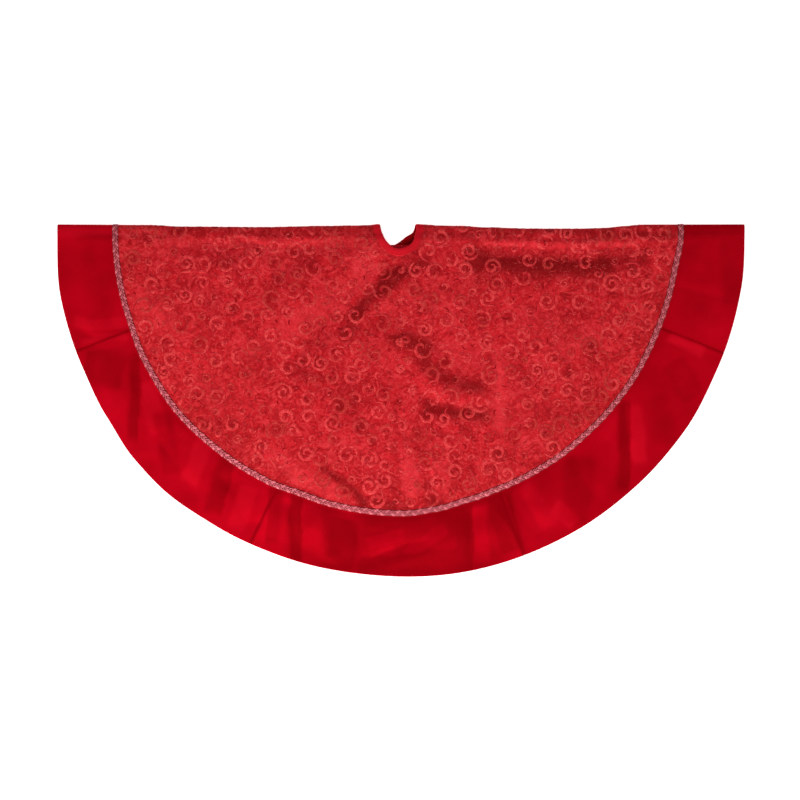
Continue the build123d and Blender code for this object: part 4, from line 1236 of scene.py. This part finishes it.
for side in (LEFT, RIGHT):
    w = word(side)
    rng = np.random.default_rng(4100 + side)
    bits, leaves, flecks = Bits(), Bits(), Bits()

    (px0, py0, _), (px1, py1, _) = [[1000 * c for c in corner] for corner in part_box("loop_pads")]
    pads = [(py1 - 40.0, py1), (-320.0, -280.0), (py0, py0 + 40.0)] if side == RIGHT else []

    def inside(x, v, margin=17.0):
        edge = float(fold_edge(side * abs(x)))
        y = v if v < edge else 2 * edge + 1.6 - v
        r = math.hypot(x, y)
        angle = math.degrees(math.atan2(-y, x)) if y < 0 else (0 if x > 0 else 180)
        if v > edge and abs(x) < HALF_SLIT + 3 + margin:
            return False
        if v > edge and px0 - 2.5 < x < px1 + 2.5 and any(lo - 2.5 < y < hi + 2.5 for lo, hi in pads):
            return False
        return R_NECK + margin - 6 < r < float(braid_radius(angle)) - margin and abs(x) > (margin if v > edge else 0.1)

    span_x = (0.0, 505.0) if side == RIGHT else (-505.0, 0.0)
    spots = scatter(rng, (span_x, (-505.0, 510.0), inside), 27.5)
    hearts = []
    for x, v in spots:
        kind = rng.random()
        size = rng.uniform(22, 34) if kind < 0.72 else rng.uniform(13, 19)
        line = spiral(rng, size, rng.choice((0.8, 1.05, 1.25, 1.45)), rng.uniform(0.3, 1.0) if kind < 0.72 else 0.0,
                      rng.choice((-1, 1)), rng.uniform(0, 2 * np.pi))
        if side * x < size * 0.75 and v < 0:
            line = line * 0.55
        n = len(line)
        t = np.linspace(0, 1, n)
        body = np.minimum(1, np.minimum(t, 1 - t) * 5 + 0.25)
        swell = 0.72 + 0.45 * np.sin(np.pi * t) ** 2 + 0.16 * np.sin(t * rng.uniform(14, 22) + rng.uniform(0, 6))
        width = (6.2 if kind < 0.72 else 4.4) * body * swell
        hearts.append((x, v, size if kind < 0.72 else 0.8 * size, rng.uniform(0.1, 1.0)))
        at = np.array([x, v]) + line
        keep = np.array([inside(px, pv, 4.0) for px, pv in at])
        if keep.sum() < 10:
            continue
        first = int(np.argmax(keep))
        last = first + int(np.argmin(keep[first:])) if not keep[first:].all() else n
        if last - first < 10:
            continue
        # a wider, lower ribbon in the dark material under each curl: a painted shadow round its raised edge
        ribbon(bits, side, at[first:last], width[first:last] + 1.3, np.full(last - first, 0.08), 1)
        ribbon(bits, side, at[first:last], width[first:last], np.full(last - first, 0.38))
    # the ground is painted darker inside each curl and a little lighter in a ring round it
    for name in (f"panel_{w}_front", f"panel_{w}_wing"):
        mesh = PIECES[name].data
        n = len(mesh.vertices)
        if "tone" not in mesh.attributes or not hearts:
            continue
        tone = np.zeros(n, np.float32)
        mesh.attributes["tone"].data.foreach_get("value", tone)
        place = flat_of(PIECES[name])
        for x, v, size, deep in hearts:
            near = (np.abs(place[:, 0] - x) < 20) & (np.abs(place[:, 1] - v) < 20)
            d = np.hypot(place[near, 0] - x, place[near, 1] - v) / (0.30 * size)
            tone[near] -= 0.75 * deep * np.exp(-0.5 * d**2)
            tone[near] += 0.25 * deep * np.exp(-0.5 * ((d - 2.4) / 0.7) ** 2)
        mesh.attributes["tone"].data.foreach_set("value", np.clip(tone, -1.1, 1.0))
    # small leaves and tendrils between the curls
    for x, v in scatter(rng, (span_x, (-505.0, 510.0), inside), 14.5, 16000):
        n = 8
        t = np.linspace(0, 1, n)
        size = rng.uniform(8, 17)
        bend = rng.uniform(-1, 1) * 3.2
        a = rng.uniform(0, 2 * np.pi) + bend * t
        line = np.cumsum(np.stack([np.cos(a), np.sin(a)], -1) * size / n, axis=0)
        at = np.array([x, v]) + line - line.mean(0)
        if not all(inside(px, pv, 4.0) for px, pv in at):
            continue
        wide = rng.uniform(1.6, 4.2)
        ribbon(leaves, side, at, wide * np.sin(np.pi * np.clip(t, 0.06, 0.94)) ** 0.7, np.full(n, 0.20), 0 if rng.random() < 0.76 else 1)
    p = leaves.mesh(f"leaves_{w}")
    paint(p, LEAF, CURL_SHADOW_AND_DARK_LEAF, slot="printed_panel")
    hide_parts("front_panel", f"{w}_panel")
    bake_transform(p)
    PIECES[p.name] = p
    p = bits.mesh(f"curls_{w}")
    paint(p, CURL, CURL_SHADOW_AND_DARK_LEAF, slot="printed_panel")
    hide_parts("front_panel", f"{w}_panel")
    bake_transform(p)
    PIECES[p.name] = p
    for x, v in scatter(rng, (span_x, (-505.0, 510.0), lambda a, b: inside(a, b, 5.0)), 21.0, 6000):
        s = rng.uniform(0.5, 1.05)
        a0 = rng.uniform(0, np.pi)
        a = a0 + np.arange(4) * np.pi / 2
        ring_x, ring_v = x + s * np.cos(a), v + s * np.sin(a)
        points = lay(side, np.concatenate([ring_x, ring_x]), np.concatenate([ring_v, ring_v]),
                     np.repeat([-0.25, 0.34], 4))
        quads = np.array([[4, 5, 6, 7], [3, 2, 1, 0], [0, 1, 5, 4], [1, 2, 6, 5], [2, 3, 7, 6], [3, 0, 4, 7]])
        flecks.add(points, quads, np.stack([np.tile(ring_x, 2), np.tile(ring_v, 2)], -1))
    p = flecks.mesh(f"glitter_{w}", angle=30)
    paint(p, FLECK, slot="printed_panel")
    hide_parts("front_panel", f"{w}_panel")
    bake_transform(p)
    PIECES[p.name] = p


# --------------------------------------------------------------------------
# Slit facings, stitches, hook pads and loop pads
# --------------------------------------------------------------------------
def thread_run(bits, points, up, length=2.6, gap=1.2, radius=0.24, uv=None):
    """Stitches along a line: short thread humps that go down into the cloth at each end."""
    seg = np.linalg.norm(np.diff(points, axis=0), axis=1)
    at = np.concatenate([[0], np.cumsum(seg)])
    start = 0.5 * gap
    while start + length < at[-1]:
        s = start + length * np.linspace(0, 1, 5)
        c = np.stack([np.interp(s, at, points[:, k]) for k in range(3)], -1)
        n = np.stack([np.interp(s, at, up[:, k]) for k in range(3)], -1)
        c = c + n * (np.array([-0.25, 0.12, 0.2, 0.12, -0.25]))[:, None]
        d = np.gradient(c, axis=0)
        d /= np.linalg.norm(d, axis=1, keepdims=True)
        b = np.cross(d, n)
        b /= np.linalg.norm(b, axis=1, keepdims=True)
        m = np.cross(b, d)
        ang = np.arange(4) * np.pi / 2
        ring = c[:, None] + radius * (np.cos(ang)[None, :, None] * b[:, None] + np.sin(ang)[None, :, None] * m[:, None])
        bits.add(ring, grid_faces(5, 4, closed=True), np.stack([np.repeat(s, 4).reshape(5, 4), np.tile(ang, (5, 1))], -1))
        start += length + gap


for side in (LEFT, RIGHT):
    w = word(side)
    wing = w + "_wing"
    reach = np.linspace(R_HOLE + 3.0, float(rim_radius(90)) - 8.0, 150)
    across = [(1.4, -0.05), (0.04, 0.12), (0.0, 0.5), (0.0, 1.3), (0.04, 1.85), (1.5, 2.04), (8, 2.06), (16, 2.06), (24.4, 2.03), (25, 1.9),
              (25, 1.68), (24.4, 1.63), (16, 1.63), (8, 1.63), (1.5, 1.62), (0.35, 1.5), (0.3, 0.5), (1.4, 0.12)]
    u = np.array([[a[0] for a in across]])
    k = np.array([[a[1] for a in across]])
    x = side * (HALF_SLIT + u) + 0 * reach[:, None]
    y = -reach[:, None] + 0 * u
    z = B(x, y) + k
    points = np.stack([x, y, z], -1)
    p = swept(f"slit_facing_{w}", points, np.stack([x, y], -1), -side, 9)
    paint(p, TAPE, slot="satin_tape")
    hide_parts(f"{w}_slit_facing")
    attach(p, wing)
    PIECES[p.name] = p

    bits = Bits()
    up = np.tile([0.0, 0.0, 1.0], (150, 1))
    for inset in (3.0, 22.6):
        xs = np.full(150, side * (HALF_SLIT + inset))
        line = np.stack([xs, -reach, B(xs, -reach) + 2.05], -1)
        thread_run(bits, line, up)
    # top stitching round the rim of the wing
    cols = Columns([part(BACK, np.linspace(0, 1, 260), 0, 90)])
    mid = 90 * cols.t
    whole = mid if side == RIGHT else 180 - mid
    rim, _ = surface(side, rim_radius(whole)[:, None] - 9.6, cols, np.full((260, 1), -1.42))
    thread_run(bits, rim[:, 0], np.tile([0.0, 0.0, 1.0], (260, 1)))
    p = bits.mesh(f"wing_stitches_{w}")
    paint(p, THREAD, slot="satin_tape")
    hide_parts(f"{w}_slit_facing")
    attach(p, wing)
    PIECES[p.name] = p

# stitches round the neck on the front
for side in (LEFT, RIGHT):
    w = word(side)
    bits = Bits()
    cols = Columns([part(FRONT, np.linspace(0, 1, 60), 90, 0)])
    off = neck_offset(cols, side)
    line, _ = surface(side, (R_HOLE + 11.4 + off)[:, None], cols, np.full((60, 1), 0.66))
    thread_run(bits, line[:, 0], np.tile([0.0, 0.0, 1.0], (60, 1)), 2.2, 1.1, 0.22)
    p = bits.mesh(f"front_stitches_{w}")
    paint(p, THREAD, slot="satin_tape")
    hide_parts("front_neck_binding")
    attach(p, "front_half")
    PIECES[p.name] = p


def pad_slab(bits, x0, x1, y0, y1, z0, z1, slot=0, corner=2.0):
    """A thin slab with rounded corners, between heights over the wing's outer face."""
    ring = []
    for cx, cy, a0 in ((x1 - corner, y1 - corner, 0), (x0 + corner, y1 - corner, 90), (x0 + corner, y0 + corner, 180), (x1 - corner, y0 + corner, 270)):
        for a in np.radians(a0 + np.linspace(0, 90, 5)):
            ring.append((cx + corner * np.cos(a), cy + corner * np.sin(a)))
    ring = np.array(ring)
    m = len(ring)
    middle = ring.mean(0)
    levels = [(0.0, z0), (0.5, z0), (1.0, z0), (1.0, z0 + 0.75 * (z1 - z0)), (0.985, z1), (0.5, z1), (0.0, z1)]
    grid = np.array([[np.append(middle + s * (q - middle), z) for q in ring] for s, z in levels])
    grid[..., 2] += B(grid[..., 0], grid[..., 1])
    bits.add(grid, grid_faces(len(levels), m, closed=True), grid[..., :2], slot)


def bent(bits, at, path, radius, slot):
    """A thin bristle along a small path, thinner at its tip."""
    c = at + path
    d = np.gradient(c, axis=0)
    d /= np.linalg.norm(d, axis=1, keepdims=True)
    b = np.cross(d, [0.31, 0.95, 0.05])
    b /= np.linalg.norm(b, axis=1, keepdims=True)
    m = np.cross(b, d)
    ang = np.arange(4) * np.pi / 2
    ring = c[:, None] + radius * (np.cos(ang)[None, :, None] * b[:, None] + np.sin(ang)[None, :, None] * m[:, None])
    bits.add(ring, grid_faces(len(c), 4, closed=True), np.stack([ring[..., 0], ring[..., 1]], -1), slot)


for node, side, wing, up in (("hook_pads", LEFT, "left_wing", True), ("loop_pads", RIGHT, "right_wing", False)):
    (bx0, by0, bz0), (bx1, by1, bz1) = [[1000 * v for v in c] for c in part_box(node)]
    rng = np.random.default_rng(77 if up else 78)
    bits = Bits()
    length = 40.0
    top_y = by1
    for reach in (75.0, 300.0, 560.0):
        y1 = -reach + 0.5 * length
        if reach == 75.0:
            y1 = by1
        if reach == 560.0:
            y1 = by0 + length
        y0 = y1 - length
        if up:
            pad_slab(bits, bx0, bx1, y0, y1, 2.06, 2.36)
            for i, hx in enumerate(np.arange(bx0 + 1.6, bx1 - 1.2, 1.45)):
                for hy in np.arange(y0 + 1.4, y1 - 1.2, 1.7):
                    turn = 1 if i % 2 else -1
                    path = np.array([(0, 0, 0), (0, 0, 0.32), (0, 0.12 * turn, 0.5), (0, 0.32 * turn, 0.5), (0, 0.4 * turn, 0.38)])
                    at = np.array([hx, hy, float(B(hx, hy)) + 2.33])
                    bent(bits, at, path, 0.13, 0)
        else:
            pad_slab(bits, bx0, bx1, y0, y1, -0.32, 0.05)
            for _ in range(620):
                lx, lyy = rng.uniform(bx0 + 1.0, bx1 - 1.0), rng.uniform(y0 + 1.0, y1 - 1.0)
                a = rng.uniform(0, 2 * np.pi)
                t = np.linspace(0, np.pi, 6)
                s = rng.uniform(0.5, 0.95)
                path = np.stack([s * np.cos(t) * np.cos(a), s * np.cos(t) * np.sin(a), -0.16 * np.sin(t)], -1)
                at = np.array([lx, lyy, float(B(lx, lyy)) - 0.30])
                bent(bits, at, path, 0.07, 0)
        # box stitch round the pad
        xa, xb, ya, yb = bx0 + 1.1, bx1 - 1.1, y0 + 1.1, y1 - 1.1
        loop = np.array([(xa, ya), (xb, ya), (xb, yb), (xa, yb), (xa, ya)])
        path = np.vstack([np.linspace(loop[i], loop[i + 1], 24) for i in range(4)])
        z = B(path[:, 0], path[:, 1]) + (2.37 if up else -0.33)
        one = np.tile([0.0, 0.0, 1.0 if up else -1.0], (len(path), 1))
        first = len(bits.slot)
        thread_run(bits, np.column_stack([path, z]), one, 2.0, 1.0, 0.16 if up else 0.1)
        for s in bits.slot[first:]:
            s[:] = 1
    p = bits.mesh("closure_" + node)
    paint(p, NYLON, THREAD, slot="closure_nylon")
    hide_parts(node)
    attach(p, wing)
    PIECES[p.name] = p


for side in (LEFT, RIGHT):
    w = word(side)


# --------------------------------------------------------------------------
# Floor, light and camera
# --------------------------------------------------------------------------
def floor_material():
    m = bpy.data.materials.new("pale_floor")
    m.use_nodes = True
    tree = m.node_tree
    shader = tree.nodes["Principled BSDF"]
    noise = tree.nodes.new("ShaderNodeTexNoise")
    noise.inputs["Scale"].default_value = 3.0
    mix = tree.nodes.new("ShaderNodeMix")
    mix.data_type = "RGBA"
    mix.inputs[6].default_value = (0.90, 0.90, 0.90, 1)
    mix.inputs[7].default_value = (0.93, 0.93, 0.93, 1)
    tree.links.new(noise.outputs["Fac"], mix.inputs[0])
    tree.links.new(mix.outputs[2], shader.inputs["Base Color"])
    shader.inputs["Roughness"].default_value = 0.95
    shader.inputs["Emission Color"].default_value = (1.0, 1.0, 1.0, 1.0)
    shader.inputs["Emission Strength"].default_value = 0.74
    shader.inputs["Specular IOR Level"].default_value = 0.1
    return m


floor_mesh = bpy.data.meshes.new("floor")
floor_mesh.from_pydata([(-9, -9, -0.0006), (9, -9, -0.0006), (9, 9, -0.0006), (-9, 9, -0.0006)], [], [(0, 1, 2, 3)])
floor = bpy.data.objects.new("floor", floor_mesh)
scene.collection.objects.link(floor)
floor_mesh.materials.append(floor_material())

world = bpy.data.worlds.new("studio")
scene.world = world
world.use_nodes = True
world.node_tree.nodes["Background"].inputs["Color"].default_value = (1.0, 1.0, 1.0, 1.0)
world.node_tree.nodes["Background"].inputs["Strength"].default_value = 0.34


def softbox(name, at, size, power):
    light = bpy.data.lights.new(name, "AREA")
    light.shape, light.size, light.size_y, light.energy = "RECTANGLE", size[0], size[1], power
    o = bpy.data.objects.new(name, light)
    o.location = at
    scene.collection.objects.link(o)
    direction = mathutils.Vector((0, -0.3, 0)) - o.location
    o.rotation_euler = direction.to_track_quat("-Z", "Y").to_euler()
    return o


softbox("key", (-0.4, -2.3, 1.6), (1.6, 1.0), 72.0)
softbox("side", (-2.2, -0.35, 1.2), (0.9, 1.6), 10.0)
softbox("fill", (2.2, -0.2, 1.4), (0.9, 1.6), 7.0)

camera = bpy.data.cameras.new("camera")
camera.lens, camera.sensor_width, camera.clip_start, camera.clip_end = 76.2, 36.0, 0.1, 30.0
eye = bpy.data.objects.new("camera", camera)
eye.location = (-0.00265, -0.3076, 3.0)
scene.collection.objects.link(eye)
scene.camera = eye
scene.view_settings.view_transform = "Standard"
scene.view_settings.look = "None"
